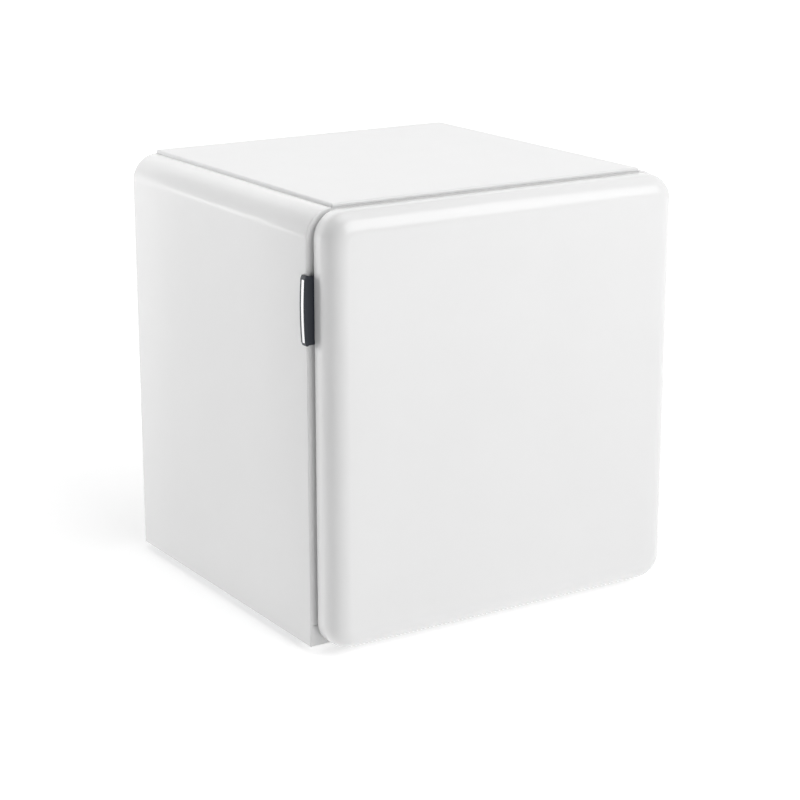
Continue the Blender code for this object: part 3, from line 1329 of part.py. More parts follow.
def coil_ends():
    """Where the condenser's upper and lower tails meet the pipes in the machine bay."""
    inlet = COIL_WIDTH / 2 + COIL_TAIL_OUT
    outlet = COIL_WIDTH / 2 - COIL_TAIL_IN
    return inlet, outlet if COIL_RUNS % 2 == 0 else -outlet


def condenser():
    """Wire-on-tube condenser: one serpentine tube with upright wires on it."""
    y = coil_plane()
    half = COIL_WIDTH / 2
    inlet, outlet = coil_ends()
    low_end = BAY_HEIGHT - COIL_TAIL_DROP
    turns = [(inlet, y, low_end), (inlet, y, COIL_TOP)]
    for run in range(COIL_RUNS):
        height = COIL_TOP - run * COIL_PITCH
        side = -half if run % 2 == 0 else half
        if run > 0:
            turns.append((-side, y, height))
        if run < COIL_RUNS - 1:
            turns.append((side, y, height))
    last = COIL_TOP - (COIL_RUNS - 1) * COIL_PITCH
    turns += [(outlet, y, last), (outlet, y, low_end)]
    coil = tube("condenser_coil", bent(turns, COIL_PITCH / 2 - 0.0005, 3), COIL_TUBE, BLACK, 1)
    wires = bpy.data.curves.new("condenser_wires", "CURVE")
    wires.dimensions = "3D"
    wires.bevel_depth = COIL_WIRE
    wires.bevel_resolution = 0
    wires.use_fill_caps = True
    span = COIL_WIDTH - COIL_WIRE_ROOM
    for i in range(COIL_WIRES):
        x = -span / 2 + span * i / (COIL_WIRES - 1)
        spline = wires.splines.new("POLY")
        spline.points.add(1)
        depth = y + COIL_TUBE - COIL_WIRE / 4
        spline.points[0].co = (x, depth, last - COIL_WIRE_REACH, 1.0)
        spline.points[1].co = (x, depth, COIL_TOP + COIL_WIRE_REACH, 1.0)
    join(coil, place("condenser_wire_set", solid_of(wires)))
    return coil


def coil_clip(name, side, run):
    """Plastic standoff on the back panel that cradles one condenser run."""
    height = COIL_TOP - run * COIL_PITCH
    x = side * (COIL_WIDTH / 2 - CLIP_INSET)
    low = (x - CLIP_HALF_WIDTH, BACK_PLANE + GAP, height - CLIP_HALF_HEIGHT)
    clip = box(name, low, (x + CLIP_HALF_WIDTH, coil_plane(), height + CLIP_HALF_HEIGHT), NYLON)
    groove = arc((coil_plane(), height), COIL_TUBE + GAP, 0.0, 330.0, 11)
    return cut(clip, plate(name + "_groove", [groove], "x", x - 0.02, x + 0.02))


def pipes():
    """Discharge, suction and capillary pipes and the filter drier."""
    inlet, outlet = coil_ends()
    y = coil_plane()
    shell_x = COMPRESSOR_X - COMPRESSOR_RADIUS * COMPRESSOR_STRETCH - GAP
    middle = bay_middle()
    base = BAY_FLOOR + COMPRESSOR_LIFT
    top = BAY_HEIGHT - COIL_TAIL_DROP - GAP
    low = base + DISCHARGE_RISE
    side = shell_x - DISCHARGE_REACH
    out = [(shell_x, middle, low), (side, middle, low), (side, y, low)]
    out += [(side, y, COLLECTOR_HEIGHT), (inlet, y, COLLECTOR_HEIGHT), (inlet, y, top)]
    discharge = tube("discharge_pipe", bent(out, DISCHARGE_BEND), PIPE_RADIUS, COPPER)
    run = pipe_plane()
    suction_low = base + SUCTION_RISE
    entry = (COMPRESSOR_X, middle - COMPRESSOR_RADIUS - GAP, suction_low)
    front = BAY_FRONT + PIPE_RADIUS + 0.001
    path = [entry, (COMPRESSOR_X, front, suction_low)]
    path += [(SUCTION_X, front, suction_low), (SUCTION_X, run, suction_low + 0.03)]
    path += [(SUCTION_X, run, SUCTION_EXIT), (SUCTION_X, ICE_BACK + GAP, SUCTION_EXIT)]
    suction = tube("suction_pipe", bent(path, PIPE_BEND), PIPE_RADIUS, COPPER)
    drier_top = top - GAP
    drier_low = drier_top - DRIER_LENGTH
    end = PIPE_RADIUS - 0.0005
    profile = [(0.0, drier_top), (end, drier_top), (end, drier_top - DRIER_NECK)]
    profile += [(DRIER_RADIUS, drier_top - DRIER_CONE), (DRIER_RADIUS, drier_low + DRIER_CONE)]
    profile += [(DRIER_TAIL_RADIUS, drier_low + DRIER_NECK), (DRIER_TAIL_RADIUS, drier_low)]
    profile += [(0.0, drier_low)]
    drier = turned("filter_drier", profile, (outlet, y, 0.0), COPPER, 16)
    bottom = drier_low - GAP
    turn = bottom - CAPILLARY_DROP
    cap = capillary_x()
    path = [(outlet, y, bottom), (outlet, y, turn), (cap, y, turn), (cap, run, bottom + 0.010)]
    path += [(cap, run, SUCTION_EXIT), (cap, ICE_BACK + GAP, SUCTION_EXIT)]
    capillary = tube("capillary_tube", bent(path, PIPE_BEND), CAPILLARY_RADIUS, COPPER, 1)
    return discharge, suction, drier, capillary


# Feet


def front_foot(name, side):
    """Levelling foot: a round pad on a stud that screws into the base."""
    at = (side * (HALF - FOOT_SIDE), FOOT_FRONT, 0.0)
    r = FOOT_RADIUS
    profile = [(0.0, STUD_TOP), (STUD_RADIUS - 0.001, STUD_TOP), (STUD_RADIUS, STUD_TOP - 0.001)]
    profile += [(STUD_RADIUS, -0.0008), (r - FOOT_SHOULDER, -0.0008), (r, -FOOT_SHOULDER)]
    profile += [(r, -FOOT_HEIGHT + FOOT_BEVEL), (r - FOOT_BEVEL, -FOOT_HEIGHT), (0.0, -FOOT_HEIGHT)]
    return turned(name, profile, at, BLACK, 20)


def rear_foot(name, side):
    """Fixed foot: a plastic pad plugged into the mounting plate."""
    at = (side * (HALF - FOOT_SIDE), CABINET_DEPTH - REAR_FOOT_BACK, 0.0)
    r = REAR_FOOT_RADIUS
    seat = PAN_LIFT - GAP
    top = BAY_FLOOR + PLUG_RISE
    profile = [(0.0, top), (PLUG_RADIUS - 0.001, top), (PLUG_RADIUS, BAY_FLOOR + 0.001)]
    profile += [(PLUG_RADIUS, seat)]
    profile += [(r, seat), (r, -FOOT_HEIGHT + FOOT_BEVEL), (r - FOOT_BEVEL, -FOOT_HEIGHT)]
    profile += [(0.0, -FOOT_HEIGHT)]
    return turned(name, profile, at, RUBBER, 16)


# Assembly

left = side_panel("left_side_panel", -1)
right = side_panel("right_side_panel", 1)
top_panel()
top_rail()
bottom_rail()
kick_plate()
base_pan()
back_panel()
inner = liner()
foam()
lower_level, upper_level = hinge_levels()
for tag, level in (("lower", lower_level), ("upper", upper_level)):
    cut(right, hinge_slots(tag + "_flange_slot", level, -0.01, 0.01))
    cut(inner, hinge_slots(tag + "_liner_slot", level, -0.01, 0.01))
    hinge_plate(tag + "_hinge_plate", level)
hinge_pin("lower_hinge_pin", lower_level, 1)
hinge_pin("upper_hinge_pin", upper_level, -1)

door_pivot = pivot("door_pivot", HINGE_X, HINGE_Y, 0.0)
grip_body, grip_trim = grip()
carry(
    door_pivot,
    door_skin(),
    door_liner(),
    door_foam(),
    seal(),
    hinge_bush("lower_hinge_bush", lower_level, 1),
    hinge_bush("upper_hinge_bush", upper_level, -1),
    grip_body,
    grip_trim,
    door_bin("upper_door_bin", UPPER_BIN_FLOOR, UPPER_BIN_HEIGHT),
    door_bin("lower_door_bin", LOWER_BIN_FLOOR, LOWER_BIN_HEIGHT),
    bottle_rail(),
)

ice_box()
ice_bezel()
flap_pivot = pivot("flap_pivot", ICE_MIDDLE, flap_plane(), ICE_TOP - FLAP_PIN_DROP)
carry(flap_pivot, ice_flap())
tray_slide = pivot("tray_slide", ICE_MIDDLE, ICE_FRONT, tray_levels()[1])
carry(tray_slide, drip_tray())
tray_runner("left_tray_runner", -1)
tray_runner("right_tray_runner", 1)
thermostat()
shelf()

mounting_plate()
compressor()
foot_plate()
for number, centre in enumerate(grommet_places(), 1):
    grommet(f"compressor_grommet_{number}", centre)
terminal_cover()
evaporation_tray()
drain_tube()
condenser()
for tag, side in (("left", -1), ("right", 1)):
    coil_clip(f"upper_{tag}_coil_clip", side, 2)
    coil_clip(f"lower_{tag}_coil_clip", side, COIL_RUNS - 3)
pipes()
for tag, side in (("left", -1), ("right", 1)):
    front_foot(f"front_{tag}_foot", side)
    rear_foot(f"rear_{tag}_foot", side)
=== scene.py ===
"""Cube bar fridge with a pillow-edged door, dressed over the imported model.

All shapes are written in the cabinet's own frame, in metres: x = 0 is the middle, y = 0 the
cabinet's front flange, z = 0 the cabinet's bottom edge, and +y points to the back.
"""
from __future__ import annotations

import json
import logging
import math
from collections.abc import Sequence
from dataclasses import dataclass
from enum import Enum

import bmesh
import bpy
import numpy as np
from mathutils import Matrix, Vector

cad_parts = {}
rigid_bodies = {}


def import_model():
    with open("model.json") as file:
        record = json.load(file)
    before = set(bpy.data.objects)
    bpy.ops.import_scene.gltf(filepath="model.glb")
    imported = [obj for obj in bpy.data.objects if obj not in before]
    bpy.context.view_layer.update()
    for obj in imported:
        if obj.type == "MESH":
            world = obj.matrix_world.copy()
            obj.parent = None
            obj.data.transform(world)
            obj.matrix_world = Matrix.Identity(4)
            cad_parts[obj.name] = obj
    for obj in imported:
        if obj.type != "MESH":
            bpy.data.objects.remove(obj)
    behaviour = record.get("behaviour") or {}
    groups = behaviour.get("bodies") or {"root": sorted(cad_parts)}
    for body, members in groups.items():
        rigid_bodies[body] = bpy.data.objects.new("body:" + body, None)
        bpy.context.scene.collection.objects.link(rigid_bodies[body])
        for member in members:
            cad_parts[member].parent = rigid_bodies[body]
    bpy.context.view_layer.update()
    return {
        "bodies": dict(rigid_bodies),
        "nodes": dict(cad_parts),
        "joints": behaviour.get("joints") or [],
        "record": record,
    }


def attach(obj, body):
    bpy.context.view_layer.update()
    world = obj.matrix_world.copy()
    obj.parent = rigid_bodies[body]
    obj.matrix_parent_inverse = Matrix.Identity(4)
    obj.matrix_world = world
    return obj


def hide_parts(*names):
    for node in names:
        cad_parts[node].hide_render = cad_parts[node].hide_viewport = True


LOG = logging.getLogger("bar_fridge")
ORIGIN = np.array((0.0035, -0.182, 0.008))  # where the cabinet's frame stands in the model
HINGE = (0.2155, -0.020)
PLATES = (0.033, 0.4435)
PLATE = 0.003
SLOT_ROOM = 0.0015
CREASE = math.radians(38)
DOUBLES = 1e-6
Point = tuple[float, float, float]
Colour = tuple[float, float, float]
Box = tuple[Point, Point]
Span = tuple[float, float, float, float]  # lowest and highest x, lowest and highest y
ONE: Point = (1.0, 1.0, 1.0)


class Side(Enum):
    """Left or right of the cabinet, as seen from the front."""

    LEFT = -1
    RIGHT = 1


class Ends(Enum):
    """Which end rows of a grid are filled."""

    OPEN = 0
    LAST = 1
    BOTH = 2


# Shader maths


class Signal:
    """An output socket; arithmetic on it adds Math nodes."""

    def __init__(self, work: Paint, socket: bpy.types.NodeSocket) -> None:
        """Args: work: the material being made. socket: the output it wraps."""
        self.work = work
        self.socket = socket

    def math(self, operation: str, *values: float | Signal) -> Signal:
        """One Math node.

        Args:
            operation: Blender's name of the operation.
            values: its inputs, in order.

        Returns:
            The result.
        """
        inputs = dict(enumerate(values))
        return self.work.node("ShaderNodeMath", {"operation": operation}, inputs)[0]

    def __add__(self, other: float | Signal) -> Signal:
        """Sum."""
        return self.math("ADD", self, other)

    __radd__ = __add__

    def __mul__(self, other: float | Signal) -> Signal:
        """Product."""
        return self.math("MULTIPLY", self, other)

    __rmul__ = __mul__

    def between(self, low: float, high: float) -> Signal:
        """The value spread so that low gives 0 and high gives 1, and held there.

        Args:
            low: input that gives 0.
            high: input that gives 1.

        Returns:
            A value from 0 to 1.
        """
        inputs = {"Value": self, "From Min": low, "From Max": high}
        return self.work.node("ShaderNodeMapRange", {"clamp": True}, inputs)["Result"]


class Made:
    """A node that has been made; its outputs are read by name or number."""

    def __init__(self, work: Paint, node: bpy.types.Node) -> None:
        """Args: work: the material being made. node: the node."""
        self.work = work
        self.node = node

    def __getitem__(self, key: str | int) -> Signal:
        """The output of that name or number."""
        return Signal(self.work, self.node.outputs[key])


class Paint:
    """A material's nodes while they are being made."""

    def __init__(self, name: str, world: bool = False) -> None:
        """Starts an empty tree.

        Args:
            name: the material's name.
            world: whether it is the air's and not a surface's.
        """
        self.made = (bpy.data.worlds if world else bpy.data.materials).new(name)
        self.made.use_nodes = True
        self.tree = self.made.node_tree
        self.tree.nodes.clear()

    def node(self, kind: str, settings: dict | None = None, inputs: dict | None = None) -> Made:
        """Adds one node.

        Args:
            kind: the node's type name.
            settings: its own settings; stops holds a ramp's (position, colour) pairs.
            inputs: values or links of its sockets, by name or number.

        Returns:
            The node, whose outputs can be read.
        """
        made = self.tree.nodes.new(kind)
        for key, value in (settings or {}).items():
            if key == "stops":
                ramp = made.color_ramp.elements
                for index, (place, colour) in enumerate(value):
                    stop = ramp[index] if index < len(ramp) else ramp.new(place)
                    stop.position, stop.color = place, (*colour, 1.0)
            else:
                setattr(made, key, value)
        for key, value in (inputs or {}).items():
            socket = made.inputs[key]
            if isinstance(value, Signal):
                self.tree.links.new(value.socket, socket)
            else:
                socket.default_value = value
        return Made(self, made)

    def place(self, stretch: Point = ONE) -> Signal:
        """Object coordinates, stretched along each axis.

        Args:
            stretch: factor along x, y and z.

        Returns:
            The coordinates.
        """
        start = self.node("ShaderNodeTexCoord")["Object"]
        return self.node("ShaderNodeMapping", None, {"Vector": start, "Scale": stretch})["Vector"]

    def noise(self, scale: float, detail: float = 2.0, stretch: Point = ONE) -> Signal:
        """Noise on object coordinates, about 0.5.

        Args:
            scale: waves in a metre.
            detail: octaves added.
            stretch: factor along each axis.

        Returns:
            The noise value.
        """
        inputs = {"Vector": self.place(stretch), "Scale": scale, "Detail": detail}
        return self.node("ShaderNodeTexNoise", None, inputs | {"Roughness": 0.55})["Fac"]

    def cells(self, scale: float) -> Made:
        """Voronoi cells on object coordinates.

        Args:
            scale: cells in a metre.

        Returns:
            The node.
        """
        return self.node("ShaderNodeTexVoronoi", None, {"Vector": self.place(), "Scale": scale})

    def seen(self) -> Signal:
        """Whether a ray comes from the camera, a reflection or through glass.

        Returns:
            1 where it does, else 0.
        """
        path = self.node("ShaderNodeLightPath")
        seen = path["Is Camera Ray"].math("MAXIMUM", path["Is Camera Ray"], path["Is Glossy Ray"])
        return seen.math("MAXIMUM", seen, path["Is Transmission Ray"])

    def blend(self, share: Signal, first: Colour | Signal, second: Colour | Signal) -> Signal:
        """A mix of two colours.

        Args:
            share: how much of the second.
            first: colour at 0.
            second: colour at 1.

        Returns:
            The colour.
        """
        low, high = ((*c, 1.0) if isinstance(c, tuple) else c for c in (first, second))
        return self.node("ShaderNodeMix", {"data_type": "RGBA"}, {0: share, 6: low, 7: high})[2]

    def relief(self, height: Signal, depth: float, strength: float = 1.0) -> Signal:
        """A bumped normal.

        Args:
            height: height from 0 to 1.
            depth: metres between 0 and 1.
            strength: share of the effect.

        Returns:
            The normal.
        """
        inputs = {"Height": height, "Distance": depth, "Strength": strength}
        return self.node("ShaderNodeBump", None, inputs)["Normal"]

    def close(self, shader: Signal, kind: str = "ShaderNodeOutputMaterial") -> bpy.types.ID:
        """Links the shader to the output.

        Args:
            shader: the surface shader.
            kind: the output's type name.

        Returns:
            The finished material or world.
        """
        self.node(kind, None, {"Surface": shader})
        return self.made


# Finishes


@dataclass(frozen=True)
class Finish:
    """A surface finish: plain values, with what varies over it added by its kind."""

    slot: str
    colour: Colour
    roughness: float
    metallic: float = 0.0
    coat: float = 0.0
    ior: float = 1.5
    alpha: float = 1.0

    def vary(self, work: Paint) -> dict[str, Signal]:
        """What varies over the surface, by socket name.

        Args:
            work: the material being made.

        Returns:
            Links for the shader's sockets.
        """
        return {}

    def shades(self, work: Paint, share: Signal, spread: float) -> Signal:
        """The colour, a little darker and lighter.

        Args:
            work: the material being made.
            share: which of the two, from 0 to 1.
            spread: share of the colour between them.

        Returns:
            The colour.
        """
        dark = tuple(c * (1.0 - spread) for c in self.colour)
        light = tuple(min(c * (1.0 + spread), 1.0) for c in self.colour)
        return work.blend(share, dark, light)

    def paint(self) -> bpy.types.Material:
        """Makes the material.

        Returns:
            The material.
        """
        work = Paint("finish_" + self.slot)
        inputs = {
            "Base Color": (*self.colour, 1.0), "Roughness": self.roughness,
            "Metallic": self.metallic, "Coat Weight": self.coat, "Coat Roughness": 0.08,
            "IOR": self.ior, "Alpha": self.alpha,
        }
        inputs |= self.vary(work)
        return work.close(work.node("ShaderNodeBsdfPrincipled", None, inputs)["BSDF"])


@dataclass(frozen=True)
class Enamel(Finish):
    """Sprayed gloss enamel on pressed steel, with a faint orange peel."""

    peel: float = 0.00003
    spread: float = 0.006

    def vary(self, work: Paint) -> dict[str, Signal]:
        """Slow thickness changes, fine peel and a slightly uneven gloss.

        Args:
            work: the material being made.

        Returns:
            Links for the shader's sockets.
        """
        slow = work.noise(9.0, 2.0)
        return {
            "Base Color": self.shades(work, slow.between(0.3, 0.7), self.spread),
            "Roughness": work.noise(60.0, 3.0) * 0.05 + (self.roughness - 0.025),
            "Normal": work.relief(work.noise(420.0, 1.0), self.peel, 0.5),
        }


@dataclass(frozen=True)
class Moulded(Finish):
    """Moulded plastic with a fine grain."""

    grain: float = 1400.0
    depth: float = 0.00002
    spread: float = 0.03
    gloss: float = 0.1

    def vary(self, work: Paint) -> dict[str, Signal]:
        """Fine grain in the relief, slow flow marks in colour and gloss.

        Args:
            work: the material being made.

        Returns:
            Links for the shader's sockets.
        """
        flow = work.noise(22.0, 3.0)
        return {
            "Base Color": self.shades(work, flow.between(0.3, 0.7), self.spread),
            "Roughness": work.noise(120.0, 3.0) * self.gloss + (self.roughness - self.gloss / 2),
            "Normal": work.relief(work.noise(self.grain, 2.0), self.depth, 0.6),
        }


@dataclass(frozen=True)
class Zinc(Finish):
    """Galvanised sheet: flat crystals of unlike brightness."""

    def vary(self, work: Paint) -> dict[str, Signal]:
        """A brightness and a gloss for each crystal.

        Args:
            work: the material being made.

        Returns:
            Links for the shader's sockets.
        """
        cell = work.cells(95.0)
        pick = work.node("ShaderNodeSeparateColor", None, {0: cell["Color"]})
        stain = work.noise(14.0, 4.0).between(0.45, 0.75)
        base = self.shades(work, pick[0], 0.14)
        return {
            "Base Color": work.blend(stain * 0.35, base, (0.42, 0.43, 0.43)),
            "Roughness": pick[1] * 0.16 + (self.roughness - 0.08),
            "Normal": work.relief(pick[2], 0.00002, 0.4),
        }


@dataclass(frozen=True)
class Brushed(Finish):
    """Metal brushed along x."""

    stretch: Point = (0.03, 1.0, 1.0)

    def vary(self, work: Paint) -> dict[str, Signal]:
        """Long fine scratches and a slow haze.

        Args:
            work: the material being made.

        Returns:
            Links for the shader's sockets.
        """
        lines = work.noise(900.0, 2.0, self.stretch)
        haze = work.noise(12.0, 3.0)
        return {
            "Base Color": self.shades(work, haze, 0.05),
            "Roughness": lines * 0.2 + haze * 0.08 + (self.roughness - 0.14),
            "Normal": work.relief(lines, 0.00002, 0.5),
        }


@dataclass(frozen=True)
class Foam(Finish):
    """Rigid foam: a skin with small open cells."""

    def vary(self, work: Paint) -> dict[str, Signal]:
        """Cells in the relief and cream mottling.

        Args:
            work: the material being made.

        Returns:
            Links for the shader's sockets.
        """
        cell = work.cells(700.0)["Distance"]
        return {
            "Base Color": self.shades(work, work.noise(60.0, 4.0).between(0.3, 0.7), 0.08),
            "Normal": work.relief(cell, 0.0003, 0.8),
        }


@dataclass(frozen=True)
class Copper(Finish):
    """Drawn copper with patches of brown oxide."""

    def vary(self, work: Paint) -> dict[str, Signal]:
        """Oxide patches that are darker and duller.

        Args:
            work: the material being made.

        Returns:
            Links for the shader's sockets.
        """
        patch = work.noise(70.0, 5.0).between(0.48, 0.68)
        bright = self.shades(work, work.noise(300.0, 2.0), 0.06)
        return {
            "Base Color": work.blend(patch * 0.7, bright, (0.24, 0.12, 0.075)),
            "Roughness": patch * 0.3 + (self.roughness - 0.05),
            "Normal": work.relief(work.noise(800.0, 2.0), 0.00002, 0.4),
        }


@dataclass(frozen=True)
class Rubber(Finish):
    """Soft rubber or seal plastic with a dull bloom."""

    bloom: Colour = (0.10, 0.10, 0.10)

    def vary(self, work: Paint) -> dict[str, Signal]:
        """A pale bloom in patches over a fine grain.

        Args:
            work: the material being made.

        Returns:
            Links for the shader's sockets.
        """
        patch = work.noise(90.0, 4.0).between(0.5, 0.8)
        return {
            "Base Color": work.blend(patch * 0.35, self.colour, self.bloom),
            "Roughness": work.noise(200.0, 2.0) * 0.12 + (self.roughness - 0.06),
            "Normal": work.relief(work.noise(2200.0, 2.0), 0.00003, 0.6),
        }


@dataclass(frozen=True)
class Dusty(Finish):
    """Black paint with settled dust."""

    dust: Colour = (0.20, 0.19, 0.175)

    def vary(self, work: Paint) -> dict[str, Signal]:
        """Dust patches that are paler and rougher, over a fine peel.

        Args:
            work: the material being made.

        Returns:
            Links for the shader's sockets.
        """
        patch = work.noise(55.0, 5.0).between(0.5, 0.85)
        speck = work.noise(900.0, 2.0).between(0.62, 0.75)
        share = patch * 0.18 + speck * 0.08
        return {
            "Base Color": work.blend(share, self.colour, self.dust),
            "Roughness": patch * 0.25 + (self.roughness - 0.05),
            "Normal": work.relief(work.noise(500.0, 2.0), 0.00004, 0.5),
        }


@dataclass(frozen=True)
class Clear(Finish):
    """Clear plastic or glass: light goes through, with faint flow lines."""

    edge: Colour = (0.7, 0.8, 0.8)

    def vary(self, work: Paint) -> dict[str, Signal]:
        """Faint flow lines in relief and haze.

        Args:
            work: the material being made.

        Returns:
            Links for the shader's sockets.
        """
        flow = work.noise(30.0, 2.0)
        return {
            "Base Color": work.blend(flow, self.colour, self.edge),
            "Roughness": work.noise(80.0, 3.0) * 0.06 + (self.roughness - 0.02),
            "Alpha": flow * 0.08 + (self.alpha - 0.04),
            "Normal": work.relief(work.noise(60.0, 1.0), 0.0001, 0.25),
        }


FINISHES: tuple[Finish, ...] = (
    Enamel("white_enamel", (0.86, 0.86, 0.86), 0.24, coat=0.25),
    Moulded("white_top_panel", (0.88, 0.88, 0.88), 0.34, ior=1.42, depth=0.000005, spread=0.005,
             gloss=0.02),
    Moulded("white_liner", (0.84, 0.85, 0.86), 0.32, grain=500.0, spread=0.012),
    Foam("insulation_foam", (0.80, 0.70, 0.48), 0.9),
    Rubber("seal_grey", (0.42, 0.43, 0.44), 0.65, bloom=(0.52, 0.53, 0.54)),
    Moulded("navy_grip", (0.016, 0.02, 0.03), 0.42, spread=0.08),
    Brushed("chrome_trim", (0.80, 0.80, 0.81), 0.2, 1.0),
    Zinc("zinc_plate", (0.55, 0.56, 0.57), 0.4, 0.9),
    Brushed("rolled_aluminium", (0.72, 0.73, 0.74), 0.38, 0.95),
    Clear("clear_plastic", (0.82, 0.88, 0.90), 0.08, alpha=0.42),
    Clear("shelf_glass", (0.62, 0.74, 0.70), 0.05, alpha=0.4, edge=(0.35, 0.6, 0.5)),
    Dusty("black_enamel", (0.02, 0.02, 0.022), 0.38, coat=0.3),
    Rubber("black_rubber", (0.03, 0.03, 0.03), 0.8),
    Copper("copper", (0.72, 0.38, 0.24), 0.28, 1.0),
    Moulded("grey_plastic", (0.45, 0.46, 0.47), 0.5, spread=0.05),
    Moulded("black_plastic", (0.02, 0.02, 0.022), 0.45, spread=0.1),
    Moulded("white_nylon", (0.78, 0.78, 0.76), 0.45, spread=0.02),
)


# Surfaces


def surface(name: str, grid: np.ndarray, ring: bool = True, loop: bool = False,
            ends: Ends = Ends.OPEN) -> bpy.types.Mesh:
    """A mesh through a grid of points.

    Args:
        name: the mesh's name.
        grid: points as (rows, columns, 3), in the cabinet's frame.
        ring: whether each row closes on itself.
        loop: whether the last row joins the first.
        ends: which of the first and last rows are filled.

    Returns:
        The mesh, moved to the model's frame, with doubles merged and faces outwards.
    """
    rows, columns = grid.shape[:2]
    index = np.arange(rows * columns).reshape(rows, columns)
    first, last = index[0].tolist(), index[-1].tolist()
    if ring:
        index = np.hstack([index, index[:, :1]])
    if loop:
        index = np.vstack([index, index[:1]])
    quads = np.stack([index[:-1, :-1], index[:-1, 1:], index[1:, 1:], index[1:, :-1]], axis=-1)
    faces = quads.reshape(-1, 4).tolist()
    if ends is Ends.BOTH:
        faces.append(first[::-1])
    if ends is not Ends.OPEN:
        faces.append(last)
    mesh = bpy.data.meshes.new(name)
    mesh.from_pydata(grid.reshape(-1, 3) + ORIGIN, [], faces)
    return cleaned(mesh)


def shaded(mesh: bpy.types.Mesh) -> bpy.types.Mesh:
    """Smooths a mesh apart from its creases.

    Args:
        mesh: the mesh.

    Returns:
        The same mesh.
    """
    mesh.shade_smooth()
    mesh.set_sharp_from_angle(angle=CREASE)
    return mesh


def numbers(items: bpy.types.bpy_prop_collection, what: str, width: int) -> np.ndarray:
    """One property of all a mesh's points or faces.

    Args:
        items: the points or faces.
        what: the property.
        width: how many numbers each has.

    Returns:
        The numbers as (items, width).
    """
    values = np.empty(len(items) * width)
    items.foreach_get(what, values)
    return values.reshape(-1, width)


def cleaned(mesh: bpy.types.Mesh) -> bpy.types.Mesh:
    """Merges doubles, drops empty faces and turns all faces outwards.

    An open sheet is turned so that its faces look away from its middle: the sum of
    area * normal . (face centre - middle) is made positive.

    Args:
        mesh: the mesh.

    Returns:
        The same mesh.
    """
    bm = bmesh.new()
    bm.from_mesh(mesh)
    bmesh.ops.remove_doubles(bm, verts=bm.verts, dist=DOUBLES)
    bmesh.ops.dissolve_degenerate(bm, edges=bm.edges, dist=1e-7)
    bmesh.ops.recalc_face_normals(bm, faces=bm.faces)
    bm.to_mesh(mesh)
    bm.free()
    middle = numbers(mesh.vertices, "co", 3).mean(axis=0)
    away = numbers(mesh.polygons, "center", 3) - middle
    outward = away * numbers(mesh.polygons, "normal", 3) * numbers(mesh.polygons, "area", 1)
    if outward.sum() < 0.0:
        mesh.flip_normals()
    return shaded(mesh)


def joined(name: str, meshes: Sequence[bpy.types.Mesh]) -> bpy.types.Mesh:
    """Several meshes as one.

    Args:
        name: the new mesh's name.
        meshes: the meshes, which are removed.

    Returns:
        The mesh.
    """
    whole = bpy.data.meshes.new(name)
    bm = bmesh.new()
    for mesh in meshes:
        bm.from_mesh(mesh)
        bpy.data.meshes.remove(mesh)
    bm.to_mesh(whole)
    bm.free()
    return shaded(whole)


def filleted(points: Sequence[Sequence[float]], radius: float, steps: int = 6) -> np.ndarray:
    """A path whose inner corners are arcs of one radius.

    For a corner with unit directions a and b to its neighbours and half angle h between them,
    the arc's centre is corner + unit(a + b) * radius / sin h, and it is swept from one tangent
    point to the other by spherical interpolation.

    Args:
        points: the corners.
        radius: the arcs' radius.
        steps: pieces of each arc.

    Returns:
        The path as (n, dimensions).
    """
    p = np.asarray(points, dtype=float)
    here = p[1:-1]
    a = p[:-2] - here
    b = p[2:] - here
    a /= np.linalg.norm(a, axis=1, keepdims=True)
    b /= np.linalg.norm(b, axis=1, keepdims=True)
    half = np.arccos(np.clip((a * b).sum(axis=1), -1.0, 1.0))[:, None] / 2
    toward = a + b
    toward /= np.linalg.norm(toward, axis=1, keepdims=True)
    centre = here + toward * radius / np.sin(half)
    first = here + a * radius / np.tan(half) - centre
    last = here + b * radius / np.tan(half) - centre
    turn = (math.pi - 2 * half)[:, None]
    t = np.linspace(0.0, 1.0, steps + 1)[None, :, None]
    arcs = np.sin((1 - t) * turn) * first[:, None] + np.sin(t * turn) * last[:, None]
    arcs = arcs / np.sin(turn) + centre[:, None]
    return np.vstack([p[:1], arcs.reshape(-1, p.shape[1]), p[-1:]])


def tube(name: str, path: np.ndarray, radius: float, sides: int = 16) -> bpy.types.Mesh:
    """A round tube with flat ends.

    Each ring lies across the path: point = path + radius * (n cos a + m sin a), where n is a
    fixed slanting direction with its part along the path taken out, and m is across both.

    Args:
        name: the mesh's name.
        path: the middle line.
        radius: the tube's radius.
        sides: points in a ring.

    Returns:
        The mesh.
    """
    along = np.gradient(path, axis=0)
    along /= np.linalg.norm(along, axis=1, keepdims=True)
    slant = np.array((0.41, 0.53, 0.74))
    n = slant - (along @ slant)[:, None] * along
    n /= np.linalg.norm(n, axis=1, keepdims=True)
    m = np.cross(along, n)
    a = np.linspace(0.0, 2 * math.pi, sides, endpoint=False)[None, :, None]
    grid = path[:, None] + radius * (n[:, None] * np.cos(a) + m[:, None] * np.sin(a))
    return surface(name, grid, ends=Ends.BOTH)


